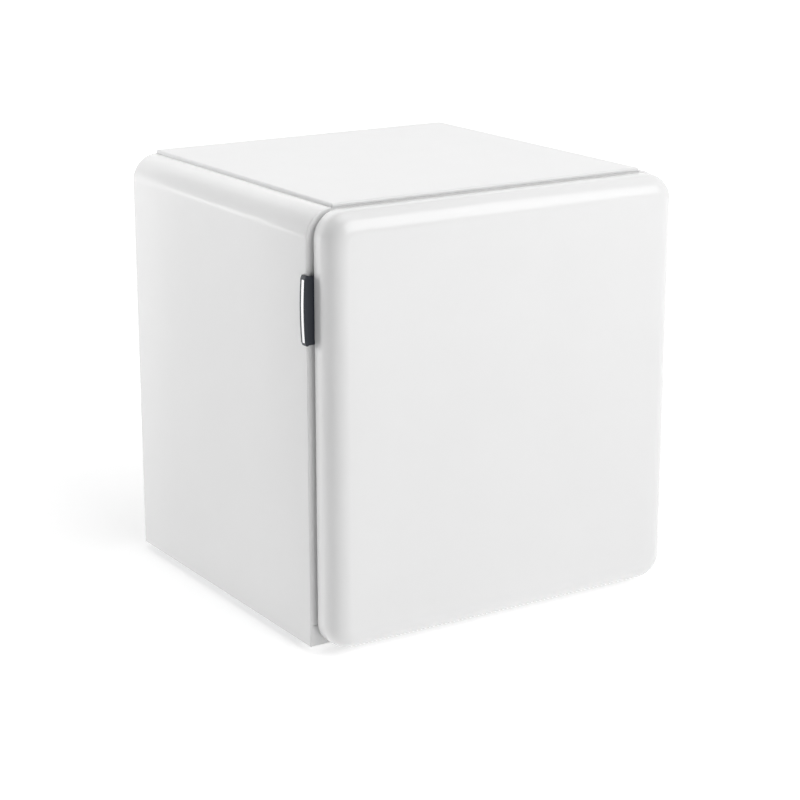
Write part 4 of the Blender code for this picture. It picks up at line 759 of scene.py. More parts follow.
def turned(name: str, profile: Sequence[Sequence[float]], centre: Point, sides: int,
           stretch: Point = ONE, flutes: tuple[int, float] = (0, 0.0),
           axis: str = "z") -> bpy.types.Mesh:
    """A turned piece.

    A profile point (r, h) goes round the axis as (r cos a, r sin a, h). With flutes, r is cut by
    depth * (0.5 - 0.5 cos(count * a)) where r is over nine tenths of the largest radius.

    Args:
        name: the mesh's name.
        profile: (radius, height) pairs.
        centre: the foot of the axis.
        sides: points in a ring.
        stretch: factor along x, y and z about the centre.
        flutes: how many, and how deep.
        axis: which way the height runs, z or -y.

    Returns:
        The mesh.
    """
    p = np.asarray(profile, dtype=float)
    a = np.linspace(0.0, 2 * math.pi, sides, endpoint=False)[None, :]
    r = p[:, :1] * np.ones_like(a)
    rim = p[:, :1] > 0.9 * p[:, 0].max()
    r = r - rim * flutes[1] * (0.5 - 0.5 * np.cos(flutes[0] * a))
    h = p[:, 1:] * np.ones_like(a)
    around = np.stack([r * np.cos(a), r * np.sin(a), h], axis=-1)
    if axis == "-y":
        around = np.stack([around[..., 0], -around[..., 2], around[..., 1]], axis=-1)
    closed = bool(np.allclose(p[0], p[-1]))
    grid = around * np.array(stretch) + np.array(centre)
    return surface(name, grid[:-1] if closed else grid, loop=closed)


def rounded_rectangle(half: float, low: float, high: float, radius: float,
                      steps: int) -> np.ndarray:
    """A rectangle's outline in (x, z) with round corners.

    Each corner is a quarter of a circle: corner centre + radius * (cos a, sin a).

    Args:
        half: half its width.
        low: its lowest z.
        high: its highest z.
        radius: the corners' radius.
        steps: pieces of each corner.

    Returns:
        The outline, counter-clockwise, as (n, 2).
    """
    quarter = np.linspace(0.0, math.pi / 2, steps + 1)
    starts = np.repeat(np.arange(4) * math.pi / 2, steps + 1)
    a = starts + np.tile(quarter, 4)
    signs = np.repeat(np.array([(1, 1), (-1, 1), (-1, -1), (1, -1)]), steps + 1, axis=0)
    middle = np.array((0.0, (low + high) / 2))
    reach = np.array((half - radius, (high - low) / 2 - radius))
    return middle + signs * reach + radius * np.stack([np.cos(a), np.sin(a)], axis=-1)


def moulding(outlines: Sequence[np.ndarray], depths: Sequence[float],
             centre: tuple[float, float] = (0.0, 0.0)) -> np.ndarray:
    """A grid of outlines in (x, z), one at each depth y.

    Args:
        outlines: arrays of (n, 2) with as many points each.
        depths: y of each outline.
        centre: added to x and z.

    Returns:
        The grid as (rows, columns, 3).
    """
    flat = np.stack(outlines) + np.array(centre)
    y = np.broadcast_to(np.asarray(depths)[:, None], flat.shape[:2])
    return np.stack([flat[..., 0], y, flat[..., 1]], axis=-1)


def slots(span: Span) -> list[Box]:
    """Boxes round both hinge plates, for the slots that they pass through.

    Args:
        span: their reach in x and y.

    Returns:
        The boxes' low and high corners.
    """
    left, right, front, back = span
    low, high = -SLOT_ROOM, PLATE + SLOT_ROOM
    return [((left, front, z + low), (right, back, z + high)) for z in PLATES]


# The workshop that dresses pieces


class Workshop:
    """Puts pieces into the scene and onto their bodies."""

    def __init__(self, frame: dict) -> None:
        """Reads the record and makes the finishes.
        """
        record = frame["record"]
        bodies = record["behaviour"]["bodies"].items()
        self.nodes = frame["nodes"]
        self.bodies = {node: body for body, names in bodies for node in names}
        self.slots = {part["node"]: part["material_slot"] for part in record["subparts"]}
        self.paints = {finish.slot: finish.paint() for finish in FINISHES}
        self.count = 0

    def dress_nodes(self) -> None:
        """Gives each CAD node the material of its slot."""
        for name, node in self.nodes.items():
            for place in node.material_slots:
                place.link = "DATA"
                place.material = self.paints[self.slots[name]]
            if not node.material_slots:
                node.data.materials.append(self.paints[self.slots[name]])

    def add(self, mesh: bpy.types.Mesh, *nodes: str, body: str = "",
            slot: str = "") -> bpy.types.Object:
        """Adds a piece that stands for CAD nodes, or an extra one on a body.

        Args:
            mesh: its mesh, already in place.
            nodes: the CAD nodes that it replaces.
            body: the body that it rides on, where it replaces none.
            slot: its material slot, if not the first node's.

        Returns:
            The piece.
        """
        piece = bpy.data.objects.new(mesh.name, mesh)
        bpy.context.scene.collection.objects.link(piece)
        slot = slot or self.slots[nodes[0]]
        mesh.materials.clear()
        mesh.materials.append(self.paints[slot])
        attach(piece, body or self.bodies[nodes[0]])
        if nodes:
            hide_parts(*nodes)
        self.count += 1
        LOG.info("%s: %d faces", mesh.name, len(mesh.polygons))
        return piece

    def softened(self, node: str, width: float, segments: int = 2) -> None:
        """A smooth copy of a CAD node with small round edges, which replaces it.

        Args:
            node: the CAD node.
            width: the edges' rounding.
            segments: faces across each edge.
        """
        source = self.nodes[node]
        mesh = source.data.copy()
        mesh.transform(source.matrix_world)
        mesh.name = "soft_" + node
        bm = bmesh.new()
        bm.from_mesh(mesh)
        bmesh.ops.remove_doubles(bm, verts=bm.verts, dist=DOUBLES)
        flat = math.radians(0.6)
        bmesh.ops.dissolve_limit(bm, angle_limit=flat, verts=bm.verts, edges=bm.edges)
        bm.to_mesh(mesh)
        bm.free()
        piece = self.add(shaded(mesh), node)
        edge = piece.modifiers.new("edges", "BEVEL")
        edge.width = width
        edge.segments = segments
        edge.limit_method = "ANGLE"
        edge.angle_limit = CREASE
        edge.use_clamp_overlap = True
        weight = piece.modifiers.new("shading", "WEIGHTED_NORMAL")
        weight.keep_sharp = True

    def pressed(self, piece: bpy.types.Object, thickness: float, boxes: Sequence[Box]) -> None:
        """Gives an open surface a wall on its inner side and cuts boxes out of it.

        Args:
            piece: the open surface.
            thickness: the wall.
            boxes: low and high corners in the cabinet's frame.
        """
        wall = piece.modifiers.new("wall", "SOLIDIFY")
        wall.thickness = thickness
        wall.offset = -1.0
        wall.use_even_offset = True
        helpers = []
        for low, high in boxes:
            a, b = Vector(low), Vector(high)
            place = Matrix.Translation(Vector(ORIGIN) + (a + b) / 2)
            bm = bmesh.new()
            bmesh.ops.create_cube(bm, size=1.0, matrix=place @ Matrix.Diagonal((*(b - a), 1.0)))
            tool = bpy.data.meshes.new("tool")
            bm.to_mesh(tool)
            bm.free()
            helper = bpy.data.objects.new("tool", tool)
            bpy.context.scene.collection.objects.link(helper)
            helpers.append(helper)
            step = piece.modifiers.new("cut", "BOOLEAN")
            step.object = helper
            step.solver = "EXACT"
        graph = bpy.context.evaluated_depsgraph_get()
        done = bpy.data.meshes.new_from_object(piece.evaluated_get(graph))
        done.name = piece.data.name
        piece.modifiers.clear()
        piece.data = shaded(done)
        for helper in helpers:
            bpy.data.objects.remove(helper, do_unlink=True)


# The object


@dataclass
class Assembly:
    """A sub-assembly and the workshop that it is made in."""

    shop: Workshop

    def build(self) -> None:
        """Makes the sub-assembly's pieces."""


@dataclass
class Cabinet(Assembly):
    """The steel cabinet: sides, top, rails and back."""

    half: float = 0.233
    depth: float = 0.404
    shoulder: float = 0.480
    radius: float = 0.031
    top: float = 0.484
    sheet: float = 0.001
    flange: float = 0.036
    bend: float = 0.0016
    rear: float = 0.010
    kick: float = 0.0243
    rail_low: float = 0.4494
    skirt: float = 0.474
    step: float = 0.0002
    levels: tuple[float, float] = (0.2, 0.4)
    rings: tuple[float, ...] = (0.1, 0.2, 0.3)
    passage: Span = (0.2156, 0.2242, -0.01, 0.01)
    seam_gap: float = 0.0003
    panel_edge: float = 0.0025
    panel_corner: float = 0.002
    panel_tightest: float = 0.0006
    panel_face: tuple[float, float] = (0.004, 0.1)
    panel_wall: float = 0.0015
    notch: float = 0.017
    steps: int = 20

    def outline(self) -> np.ndarray:
        """The side's section (x, z) for the left: up from the bottom and over the shoulder.

        The shoulder is centre + radius * (-cos t, sin t) for t from 0 to a right angle.

        Returns:
            The section as (n, 2).
        """
        t = np.linspace(0.0, math.pi / 2, self.steps + 1)
        seam, centre = -self.half + self.radius, self.shoulder - self.radius
        arc = np.stack([seam - self.radius * np.cos(t), centre + self.radius * np.sin(t)], axis=-1)
        heights = (0.0, self.kick, self.kick + self.step, *self.levels, centre - 2 * self.step)
        return np.vstack([[(-self.half, z) for z in heights], arc])

    def side(self, side: Side) -> None:
        """One pressed side: flange, rolled front edge, sheet, rear return.

        Each section point P has an inner flange point Q and an inward normal n. The rows go from
        Q in the flange's plane to P + bend * n, round a quarter circle of the bend to the side,
        back along it, round a second bend, and in along the rear return.

        Args:
            side: left or right.
        """
        p = self.outline()
        seam, centre = -self.half + self.radius, self.shoulder - self.radius
        t = np.clip((p[:, 1] - centre) / self.radius, 0.0, 1.0)
        angle = np.arcsin(t)
        n = np.stack([np.cos(angle), -np.sin(angle)], axis=-1)
        inner = np.empty_like(p)
        straight = p[:, 1] < centre
        inner[:, 0] = np.where(straight, -self.half + self.flange, seam)
        rise = self.rail_low + (self.skirt - self.rail_low) * angle * 2 / math.pi
        inner[:, 1] = np.where(straight, p[:, 1], rise)
        inner[p[:, 1] <= self.kick, 0] = -self.half + self.bend + self.step
        b = self.bend
        rows, depths = [inner], [0.0]
        for a in np.linspace(0.0, math.pi / 2, 6):
            rows.append(p + n * b * (1 - math.sin(a)))
            depths.append(b * (1 - math.cos(a)))
        for y in self.rings:
            rows.append(p)
            depths.append(y)
        for a in np.linspace(0.0, math.pi / 2, 5):
            rows.append(p + n * b * (1 - math.cos(a)))
            depths.append(self.depth - b * (1 - math.sin(a)))
        rows.append(p + n * self.rear)
        depths.append(self.depth)
        grid = moulding(rows, depths)
        grid[..., 0] *= -side.value
        name = side.name.lower() + "_side_panel"
        piece = self.shop.add(surface("pressed_" + name, grid, ring=False), name)
        holes = slots(self.passage) if side is Side.RIGHT else []
        self.shop.pressed(piece, self.sheet, holes)

    def top_panel(self) -> None:
        """The moulded top: a shallow lid with round edges, notched over the front rail.

        Each row is a rounded rectangle drawn in by inset = e (1 - cos a) at height
        top - e (1 - sin a), for the edge radius e.
        """
        seam = self.half - self.radius - self.seam_gap
        e = self.panel_edge
        insets, heights = [0.0], [self.skirt]
        for a in np.linspace(0.0, math.pi / 2, 8):
            insets.append(e * (1 - math.cos(a)))
            heights.append(self.top - e * (1 - math.sin(a)))
        insets += self.panel_face
        heights += [self.top] * len(self.panel_face)
        radii = [max(self.panel_corner - i, self.panel_tightest) for i in insets]
        flat = np.stack([
            rounded_rectangle(seam - i, i, self.depth - i, radius, 5)
            for i, radius in zip(insets, radii)
        ])
        z = np.broadcast_to(np.array(heights)[:, None], flat.shape[:2])
        grid = np.stack([flat[..., 0], flat[..., 1], z], axis=-1)
        piece = self.shop.add(surface("moulded_top_panel", grid, ends=Ends.LAST), "top_panel")
        notch = ((-1.0, -1.0, -1.0), (1.0, self.notch, self.shoulder))
        self.shop.pressed(piece, self.panel_wall, [notch])

    def build(self) -> None:
        """Makes the cabinet's pieces."""
        for side in Side:
            self.side(side)
        self.top_panel()
        for name in ("front_top_rail", "front_bottom_rail", "kick_plate"):
            self.shop.softened(name, 0.0004)
        for name in ("base_pan", "back_panel", "compressor_mounting_plate"):
            self.shop.softened(name, 0.0003, 1)
        self.shop.softened("inner_liner", 0.0012, 3)


@dataclass
class Door(Assembly):
    """The pillow-edged door with its seal, liner, storage and grip."""

    half: float = 0.227
    low: float = 0.0
    high: float = 0.4795
    back: float = -0.005
    flank: float = 0.012
    edge: float = 0.023
    corner: float = 0.030
    lip: float = 0.008
    sheet: float = 0.001
    roll: float = 0.0012
    tightest: float = 0.0045
    face: tuple[float, ...] = (0.002, 0.006, 0.05, 0.12)
    notch: Span = (HINGE[0] - 0.0003, 0.24, -0.034, 0.005)
    seal_inset: float = 0.0118
    seal_low: float = 0.0263
    seal_tightest: float = 0.003
    rail_half: float = 0.1667
    rail_back: float = -0.003
    rail_front: float = 0.0555
    rail_height: float = 0.174
    rail_leg: float = 0.004
    rail_bend: float = 0.0035
    rail_radius: float = 0.0025

    def outline(self, inset: float) -> np.ndarray:
        """The door's outline in (x, z), moved inwards.

        Args:
            inset: how far.

        Returns:
            The outline as (n, 2).
        """
        radius = max(self.corner - inset, self.tightest)
        low, high = self.low + inset, self.high - inset
        return rounded_rectangle(self.half - inset, low, high, radius, 16)

    def skin(self) -> None:
        """The pressed skin: return, flank, round edge and flat front.

        Along the round edge the inset is e (1 - cos a) and the depth front + e (1 - sin a).
        """
        r = self.roll
        insets, depths = [self.lip, 3 * r], [self.back, self.back]
        for a in np.linspace(0.0, math.pi / 2, 5):
            insets.append(r * (1 - math.sin(a)))
            depths.append(self.back - r * (1 - math.cos(a)))
        straight = self.back - self.flank
        for a in np.linspace(0.0, math.pi / 2, 25):
            insets.append(self.edge * (1 - math.cos(a)))
            depths.append(straight - self.edge * math.sin(a))
        front = depths[-1]
        for extra in self.face:
            insets.append(self.edge + extra)
            depths.append(front)
        grid = moulding([self.outline(i) for i in insets], depths)
        mesh = surface("pressed_door_panel", grid, ends=Ends.LAST)
        piece = self.shop.add(mesh, "door_outer_panel")
        self.shop.pressed(piece, self.sheet, slots(self.notch))

    def seal(self) -> None:
        """The magnetic seal: one section of foot, bellows and head, carried round the door."""
        section = [(0.0, -0.0117), (0.016, -0.0117), (0.016, -0.0095), (0.0120, -0.0090),
                   (0.0114, -0.0076), (0.0128, -0.0062), (0.0114, -0.0050), (0.0124, -0.0042),
                   (0.0150, -0.0042), (0.0150, -0.0006), (0.0146, -0.0003), (0.0014, -0.0003),
                   (0.0010, -0.0006), (0.0010, -0.0042), (0.0036, -0.0042), (0.0046, -0.0050),
                   (0.0032, -0.0062), (0.0046, -0.0076), (0.0040, -0.0090), (0.0, -0.0095)]
        rows = []
        for inset, _ in section:
            edge = self.seal_inset + inset
            radius = max(self.corner - edge, self.seal_tightest)
            rows.append(rounded_rectangle(self.half - edge, self.seal_low + inset,
                                          self.high - edge, radius, 8))
        grid = moulding(rows, [y for _, y in section])
        self.shop.add(surface("bellows_seal", grid, loop=True), "door_gasket")

    def bottle_rail(self) -> None:
        """The bent wire above the lower bin."""
        half, height = self.rail_half, self.rail_height
        bend = half - self.rail_leg
        back, front = self.rail_back, self.rail_front
        corners = [(-half, back, height), (-bend, back, height), (-bend, front, height),
                   (bend, front, height), (bend, back, height), (half, back, height)]
        path = filleted(corners, self.rail_bend)
        self.shop.add(tube("wire_bottle_rail", path, self.rail_radius, 20), "bottle_rail")

    def build(self) -> None:
        """Makes the door's pieces."""
        self.skin()
        self.seal()
        self.shop.softened("handle_grip", 0.0009, 3)
        self.shop.softened("handle_trim", 0.0004)
        self.shop.softened("door_liner", 0.0012, 3)
        for name in ("upper_door_bin", "lower_door_bin"):
            self.shop.softened(name, 0.0007)
        for name in ("hinge_bush", "hinge_plate"):
            self.shop.softened("lower_" + name, 0.0004)
            self.shop.softened("upper_" + name, 0.0004)
        self.bottle_rail()


@dataclass
class ColdInterior(Assembly):
    """Shelf, ice box with its flap, and drip tray."""

    moulded: tuple[str, ...] = ("ice_box_bezel", "ice_box_flap", "drip_tray", "left_tray_runner",
                                "right_tray_runner", "shelf_trim")

    def build(self) -> None:
        """Makes the compartment's pieces."""
        for name in self.moulded:
            self.shop.softened(name, 0.0006)
        self.shop.softened("ice_box", 0.0007)
        self.shop.softened("shelf_glass", 0.0008, 3)


@dataclass
class Thermostat(Assembly):
    """Control box and its turning dial, with plain figures."""

    centre: Point = (0.147, 0.2141, 0.4037)
    radius: float = 0.017
    depth: float = 0.013
    edge_inset: float = 0.003
    edge_round: float = 0.0018
    flat_inset: float = 0.006
    flutes: tuple[int, float] = (32, 0.0007)
    shaft: tuple[float, float] = (0.003, 0.010)
    ridge: tuple[float, float] = (0.002, 0.014)
    figures: int = 8
    letter: tuple[float, float] = (0.0042, 0.00008)
    letter_gap: float = 0.00002
    ring: float = 0.0108
    first: float = -35.0
    sweep: float = 290.0

    def dial(self) -> None:
        """The dial: a fluted disc on a shaft, with a pointer ridge across its face."""
        r, d, e = self.radius, self.depth, self.edge_round
        steps = np.linspace(0.0, math.pi / 2, 5)
        inner = r - self.edge_inset
        edge = [(inner + e * math.sin(a), d - e * (1 - math.cos(a))) for a in steps]
        profile = [(0.0, d), (r - self.flat_inset, d), *edge, (r, 0.0), (self.shaft[0], 0.0),
                   (self.shaft[0], -self.shaft[1]), (0.0, -self.shaft[1])]
        disc = turned("disc", profile, self.centre, 192, flutes=self.flutes, axis="-y")
        across, reach = self.ridge
        front = self.centre[1] - d
        insets = (0.0, 0.0, 0.0003, 0.0009)
        depths = (front + 0.001, front - across + 0.0009, front - across + 0.0003, front - across)
        rows = [rounded_rectangle(across - i, i - reach, reach - i, across - i - 0.0001, 6)
                for i in insets]
        middle = (self.centre[0], self.centre[2])
        bar = surface("bar", moulding(rows, depths, middle), ends=Ends.BOTH)
        self.shop.add(joined("fluted_dial", (disc, bar)), "thermostat_dial")

    def marks(self) -> None:
        """The figures round the dial's face, one for each cold level."""
        meshes = []
        for figure in range(self.figures):
            text = bpy.data.curves.new("figure", "FONT")
            text.body = str(figure)
            text.size, text.extrude = self.letter
            text.align_x, text.align_y = "CENTER", "CENTER"
            holder = bpy.data.objects.new("figure", text)
            bpy.context.scene.collection.objects.link(holder)
            mesh = bpy.data.meshes.new_from_object(holder)
            bpy.data.objects.remove(holder, do_unlink=True)
            turn = math.radians(self.first - figure * self.sweep / (self.figures - 1))
            out = np.array((0.0, self.depth + self.letter_gap, 0.0))
            place = ORIGIN + np.array(self.centre) - out
            matrix = Matrix.Translation(place) @ Matrix.Rotation(math.pi / 2, 4, "X")
            matrix @= Matrix.Rotation(turn, 4, "Z") @ Matrix.Translation((0.0, self.ring, 0.0))
            mesh.transform(matrix)
            meshes.append(mesh)
        mesh = joined("dial_figures", meshes)
        self.shop.add(mesh, body="thermostat_dial", slot="black_plastic")

    def build(self) -> None:
        """Makes the control box and its dial."""
        self.shop.softened("thermostat_housing", 0.0012, 3)
        self.dial()
        self.marks()


@dataclass
class MachineBay(Assembly):
    """Compressor on its rubber mounts, relay cover, evaporation tray and drain."""

    x: float = -0.060
    y: float = 0.3364
    base: float = 0.0148
    height: float = 0.112
    radius: float = 0.050
    stretch: float = 1.28
    seam: float = 0.05824
    dome: float = 0.034
    bowl: float = 0.020
    flange: float = 0.003
    flange_half: float = 0.002
    weld: tuple[float, float] = (0.0006, 0.0003)
    mounts: tuple[float, float] = (0.075, 0.040)

    def shell(self) -> None:
        """The shell: r = R sin a, h = top - dome (1 - cos a) over the lid, a flange, a bowl."""
        r, low, top = self.radius, self.base, self.base + self.height
        lid = np.linspace(0.0, math.pi / 2, 19)
        cup = np.linspace(0.0, math.pi / 2, 13)
        middle, half = low + self.seam, self.flange_half
        sunk, line = self.weld
        dome = [(r * math.sin(a), top - self.dome * (1 - math.cos(a))) for a in lid]
        bowl = [(r * math.cos(a), low + self.bowl * (1 - math.sin(a))) for a in cup]
        rim = r + self.flange
        seam = [(r, middle + half), (rim, middle + half), (rim, middle + line),
                (rim - sunk, middle), (rim, middle - line), (rim, middle - half),
                (r, middle - half)]
        mesh = turned("drawn_shell", [*dome, *seam, *bowl], (self.x, self.y, 0.0), 72,
                      (self.stretch, 1.0, 1.0))
        self.shop.add(mesh, "compressor_shell")

    def grommet(self, number: int, side: int, end: int) -> None:
        """One rubber mount: a ribbed body, a waist in the plate and a cap.

        Args:
            number: its number.
            side: -1 left or 1 right of the compressor.
            end: -1 in front of it or 1 behind.
        """
        low, high, foot = self.base - 0.0028, self.base - 0.0003, 0.0041
        top = high + 0.005
        bore, body, waist, cap = 0.0035, 0.010, 0.0069, 0.009
        rib = (foot + low) / 2
        profile = [(bore, top), (cap - 0.0008, top), (cap, top - 0.0008), (cap, high + 0.0003),
                   (waist, high + 0.0003), (waist, low - 0.0003), (body, low - 0.0003),
                   (body, rib + 0.0008), (body - 0.001, rib), (body, rib - 0.0008), (body, foot),
                   (bore, foot), (bore, top)]
        centre = (self.x + side * self.mounts[0], self.y + end * self.mounts[1], 0.0)
        mesh = turned(f"rubber_mount_{number}", profile, centre, 40)
        self.shop.add(mesh, f"compressor_grommet_{number}")

    def drain(self) -> None:
        """The drain pipe under the compartment's gutter."""
        bore, outer, low, high = 0.004, 0.006, 0.148, 0.1962
        profile = [(bore, high), (outer, high), (outer, low), (bore, low), (bore, high)]
        self.shop.add(turned("drain_pipe", profile, (self.x, 0.305, 0.0), 36), "drain_tube")

    def build(self) -> None:
        """Makes the bay's pieces."""
        self.shell()
        for number, (side, end) in enumerate(((-1, -1), (-1, 1), (1, -1), (1, 1)), 1):
            self.grommet(number, side, end)
        self.drain()
        self.shop.softened("compressor_foot_plate", 0.0006)
        self.shop.softened("relay_cover", 0.0008)
        self.shop.softened("evaporation_tray", 0.0006)


@dataclass
class RefrigerantCircuit(Assembly):
    """Wire-on-tube condenser, pipes and filter drier."""

    plane: float = 0.3925
    half: float = 0.188
    top: float = 0.446
    pitch: float = 0.028
    runs: int = 10
    tube_radius: float = 0.0024
    inlet: float = 0.206
    outlet: float = 0.168
    tail: float = 0.150
    wires: int = 13
    span: float = 0.316
    overhang: float = 0.008
    wire_radius: float = 0.0009
    pipe_radius: float = 0.003
    capillary_radius: float = 0.001

    def condenser(self) -> None:
        """The serpentine tube with its upright wires, as one piece."""
        y, last = self.plane, self.top - (self.runs - 1) * self.pitch
        turns = [(self.inlet, y, self.tail), (self.inlet, y, self.top)]
        for run in range(self.runs - 1):
            side = self.half * (-1 if run % 2 == 0 else 1)
            height = self.top - run * self.pitch
            turns += [(side, y, height), (side, y, height - self.pitch)]
        turns += [(self.outlet, y, last), (self.outlet, y, self.tail)]
        path = filleted(turns, self.pitch / 2 - 0.0005)
        pieces = [tube("serpentine", path, self.tube_radius, 14)]
        depth = y + self.tube_radius - self.wire_radius / 4
        foot, head = last - self.overhang, self.top + self.overhang
        for x in np.linspace(-self.span / 2, self.span / 2, self.wires):
            wire = np.linspace((x, depth, foot), (x, depth, head), 3)
            pieces.append(tube("wire", wire, self.wire_radius, 10))
        self.shop.add(joined("wire_on_tube_condenser", pieces), "condenser_coil")

    def pipes(self) -> None:
        """Discharge, suction and capillary pipes and the drier, on the part's own routes."""
        y, run, window = self.plane, 0.35775, 0.3293
        out = [(-0.1243, 0.3364, 0.0448), (-0.1443, 0.3364, 0.0448), (-0.1443, y, 0.0448),
               (-0.1443, y, 0.026), (self.inlet, y, 0.026), (self.inlet, y, 0.1497)]
        back = [(-0.06, 0.2861, 0.0484), (-0.06, 0.278, 0.0484), (0.088, 0.278, 0.0484),
                (0.088, run, 0.0784), (0.088, run, 0.395), (0.088, window, 0.395)]
        thin = [(self.outlet, y, 0.0791), (self.outlet, y, 0.0651), (0.0923, y, 0.0651),
                (0.0923, run, 0.0891), (0.0923, run, 0.395), (0.0923, window, 0.395)]
        wide, narrow = self.pipe_radius, self.capillary_radius
        self.shop.add(tube("hot_pipe", filleted(out, 0.008), wide, 18), "discharge_pipe")
        self.shop.add(tube("return_pipe", filleted(back, 0.006), wide, 18), "suction_pipe")
        self.shop.add(tube("capillary", filleted(thin, 0.006), narrow, 10), "capillary_tube")
        low, high, r = 0.0794, 0.1494, 0.008
        profile = [(0.0, high), (0.0025, high), (0.0025, high - 0.006), (0.0032, high - 0.0068),
                   (r - 0.001, high - 0.0132), (r, high - 0.0145), (r, low + 0.0145),
                   (r - 0.001, low + 0.0132), (0.003, low + 0.0068), (0.0022, low + 0.006),
                   (0.0022, low), (0.0, low)]
        self.shop.add(turned("drier", profile, (self.outlet, y, 0.0), 40), "filter_drier")

    def build(self) -> None:
        """Makes the circuit's pieces."""
        self.condenser()
        self.pipes()
        for name in ("upper_left", "upper_right", "lower_left", "lower_right"):
            self.shop.softened(name + "_coil_clip", 0.0006)


@dataclass
class Fittings(Assembly):
    """Feet and hinge pins."""

    foot_x: float = 0.193
    front_y: float = 0.048
    rear_y: float = 0.382
    height: float = 0.008

    def feet(self) -> None:
        """Two levelling feet in front and two fixed ones behind."""
        low, r, stud = -self.height, 0.016, 0.004
        thread = []
        for z in np.arange(0.0155, 0.0, -0.001):
            thread += [(stud, z), (stud - 0.0004, z - 0.0005)]
        front = [(0.0, 0.016), (stud - 0.001, 0.016), *thread, (stud, -0.0008),
                 (r - 0.003, -0.0008), (r - 0.0008, -0.0023), (r, -0.003), (r, low + 0.001),
                 (r - 0.001, low), (0.0, low)]
        plug, s = 0.005, 0.012
        rear = [(0.0, 0.0078), (plug - 0.001, 0.0078), (plug, 0.0048), (plug, 0.0015),
                (s - 0.0006, 0.0015), (s, 0.0009), (s, low + 0.001), (s - 0.001, low), (0.0, low)]
        for side in Side:
            x, name = side.value * self.foot_x, side.name.lower()
            ahead, behind = (x, self.front_y, 0.0), (x, self.rear_y, 0.0)
            self.shop.add(turned("levelling_foot_" + name, front, ahead, 60), f"front_{name}_foot")
            self.shop.add(turned("fixed_foot_" + name, rear, behind, 48), f"rear_{name}_foot")

    def pins(self) -> None:
        """The hinges' shouldered pins, the lower one upwards and the upper one downwards."""
        length, r, head, under = 0.012, 0.003, 0.0045, 0.0003
        tip = PLATE + length
        profile = [(0.0, tip), (r - 0.0009, tip), (r - 0.0003, tip - 0.0003), (r, tip - 0.001),
                   (r, -under), (head - 0.0003, -under), (head, -under - 0.0003),
                   (head, -under - 0.0017), (head - 0.0003, -under - 0.002), (0.0, -under - 0.002)]
        for name, level, way in (("lower", PLATES[0], 1), ("upper", PLATES[1] + PLATE, -1)):
            piece = [(radius, way * h) for radius, h in profile]
            self.shop.add(turned(name + "_pin", piece, (*HINGE, level), 36), name + "_hinge_pin")

    def build(self) -> None:
        """Makes the fittings."""
        self.feet()
        self.pins()


@dataclass(frozen=True)
class SoftBox:
    """A soft lamp. One that isn't mirrored lights the object without showing in its gloss."""

    name: str
    place: Point
    size: tuple[float, float]
    power: float
    mirrored: bool = True

    def hang(self, aim: Vector) -> None:
        """Puts the lamp in its place.

        Args:
            aim: the point that it is turned towards.
        """
        data = bpy.data.lights.new(self.name, "AREA")
        data.shape = "RECTANGLE"
        data.size, data.size_y = self.size
        data.energy = self.power
        lamp = bpy.data.objects.new(self.name, data)
        lamp.location = self.place
        lamp.rotation_euler = (aim - Vector(self.place)).to_track_quat("-Z", "Y").to_euler()
        lamp.visible_glossy = self.mirrored
        bpy.context.scene.collection.objects.link(lamp)


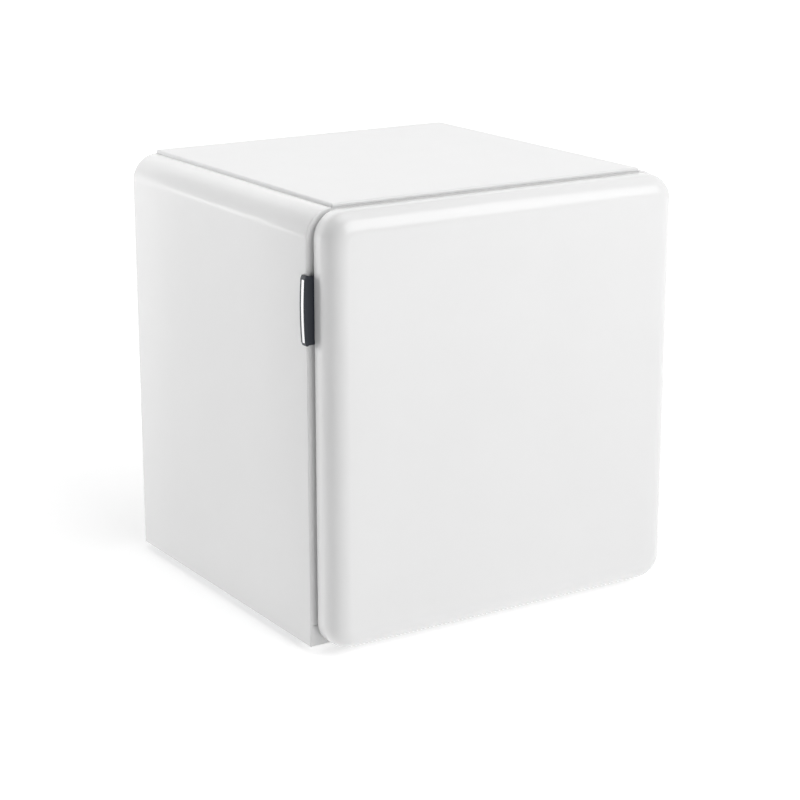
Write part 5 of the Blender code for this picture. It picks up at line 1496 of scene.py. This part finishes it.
@dataclass
class Studio:
    """Floor, backdrop, light and camera."""

    eye: Point = (-1.3141, -2.0526, 0.9070)
    yaw: float = 0.5702
    pitch: float = 0.2797
    lens: float = 96.556
    floor: Colour = (0.82, 0.82, 0.82)
    glow: float = 0.29
    backing: tuple[float, float] = (0.2, 0.7)
    reach: tuple[float, float] = (0.4, 2.5)
    air: float = 0.08
    aim: Point = (0.0, 0.0, 0.25)
    lamps: tuple[SoftBox, ...] = (
        SoftBox("front_right_box", (1.1, -2.7, 2.4), (3.4, 3.0), 83.0),
        SoftBox("low_right_box", (2.4, -2.4, 0.7), (1.8, 1.2), 4.0),
        SoftBox("back_left_box", (-4.0, 4.6, 1.6), (2.0, 1.6), 103.0, False),
        SoftBox("far_left_box", (-3.6, 4.9, 0.9), (2.0, 0.8), 47.0, False),
        SoftBox("top_box", (0.0, 0.0, 3.0), (2.0, 2.0), 22.0),
        SoftBox("top_right_box", (1.5, 0.4, 2.7), (1.8, 1.8), 4.0),
        SoftBox("top_back_box", (0.2, 2.2, 2.2), (2.0, 1.4), 4.0),
    )

    def backdrop(self) -> None:
        """A pale floor that rises at the back as y = 4 + 2 sin t, z = 2 (1 - cos t).

        It is whiter to the camera the further it is from the object, so the shadow stays.
        """
        t = np.linspace(0.0, math.pi / 2, 17)
        y = np.concatenate([[-6.0], 4.0 + 2.0 * np.sin(t), [6.0]])[:, None]
        z = np.concatenate([[0.0], 2.0 * (1 - np.cos(t)), [8.0]])[:, None]
        x = np.array([(-8.0, 8.0)])
        grid = np.stack(np.broadcast_arrays(x, y, z), axis=-1)
        index = np.arange(y.size * 2).reshape(-1, 2)
        quads = np.stack([index[:-1, 0], index[:-1, 1], index[1:, 1], index[1:, 0]], axis=-1)
        mesh = bpy.data.meshes.new("floor_sweep")
        mesh.from_pydata(grid.reshape(-1, 3), [], quads.tolist())
        mesh.shade_smooth()
        sweep = bpy.data.objects.new("floor_sweep", mesh)
        bpy.context.scene.collection.objects.link(sweep)
        work = Paint("pale_floor")
        diffuse = work.node("ShaderNodeBsdfDiffuse", None, {"Color": (*self.floor, 1.0)})["BSDF"]
        length = {"operation": "LENGTH"}
        away = work.node("ShaderNodeVectorMath", length, {0: work.place()})["Value"]
        near, far = self.backing
        strength = work.seen() * (away.between(*self.reach) * (far - near) + near) + self.glow
        glow = work.node("ShaderNodeEmission", None, {"Strength": strength})["Emission"]
        both = work.node("ShaderNodeAddShader", None, {0: diffuse, 1: glow})[0]
        mesh.materials.append(work.close(both))

    def surroundings(self) -> None:
        """The air: white where it is seen and dim to the object."""
        work = Paint("studio_air", world=True)
        strength = work.seen() * (1.0 - self.air) + self.air
        inputs = {"Color": (1.0, 1.0, 1.0, 1.0), "Strength": strength}
        air = work.node("ShaderNodeBackground", None, inputs)["Background"]
        bpy.context.scene.world = work.close(air, "ShaderNodeOutputWorld")

    def camera(self) -> None:
        """The camera, at the photograph's viewing angle."""
        data = bpy.data.cameras.new("photo_camera")
        data.lens = self.lens
        data.sensor_width = 36.0
        data.clip_start = 0.05
        data.clip_end = 60.0
        camera = bpy.data.objects.new("photo_camera", data)
        camera.location = self.eye
        camera.rotation_euler = (math.pi / 2 - self.pitch, 0.0, -self.yaw)
        bpy.context.scene.collection.objects.link(camera)
        bpy.context.scene.camera = camera

    def build(self) -> None:
        """Sets the stage."""
        self.backdrop()
        for lamp in self.lamps:
            lamp.hang(Vector(self.aim))
        self.surroundings()
        self.camera()
        bpy.context.scene.view_settings.view_transform = "Standard"


ASSEMBLIES: tuple[type[Assembly], ...] = (
    Cabinet, Door, ColdInterior, Thermostat, MachineBay, RefrigerantCircuit, Fittings,
)


def main() -> None:
    """Builds and dresses the whole scene."""
    logging.basicConfig(level=logging.INFO, format="%(message)s")
    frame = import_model()
    shop = Workshop(frame)
    shop.dress_nodes()
    for assembly in ASSEMBLIES:
        assembly(shop).build()
    Studio().build()
    LOG.info("%d pieces made", shop.count)


if __name__ == "__main__":
    main()
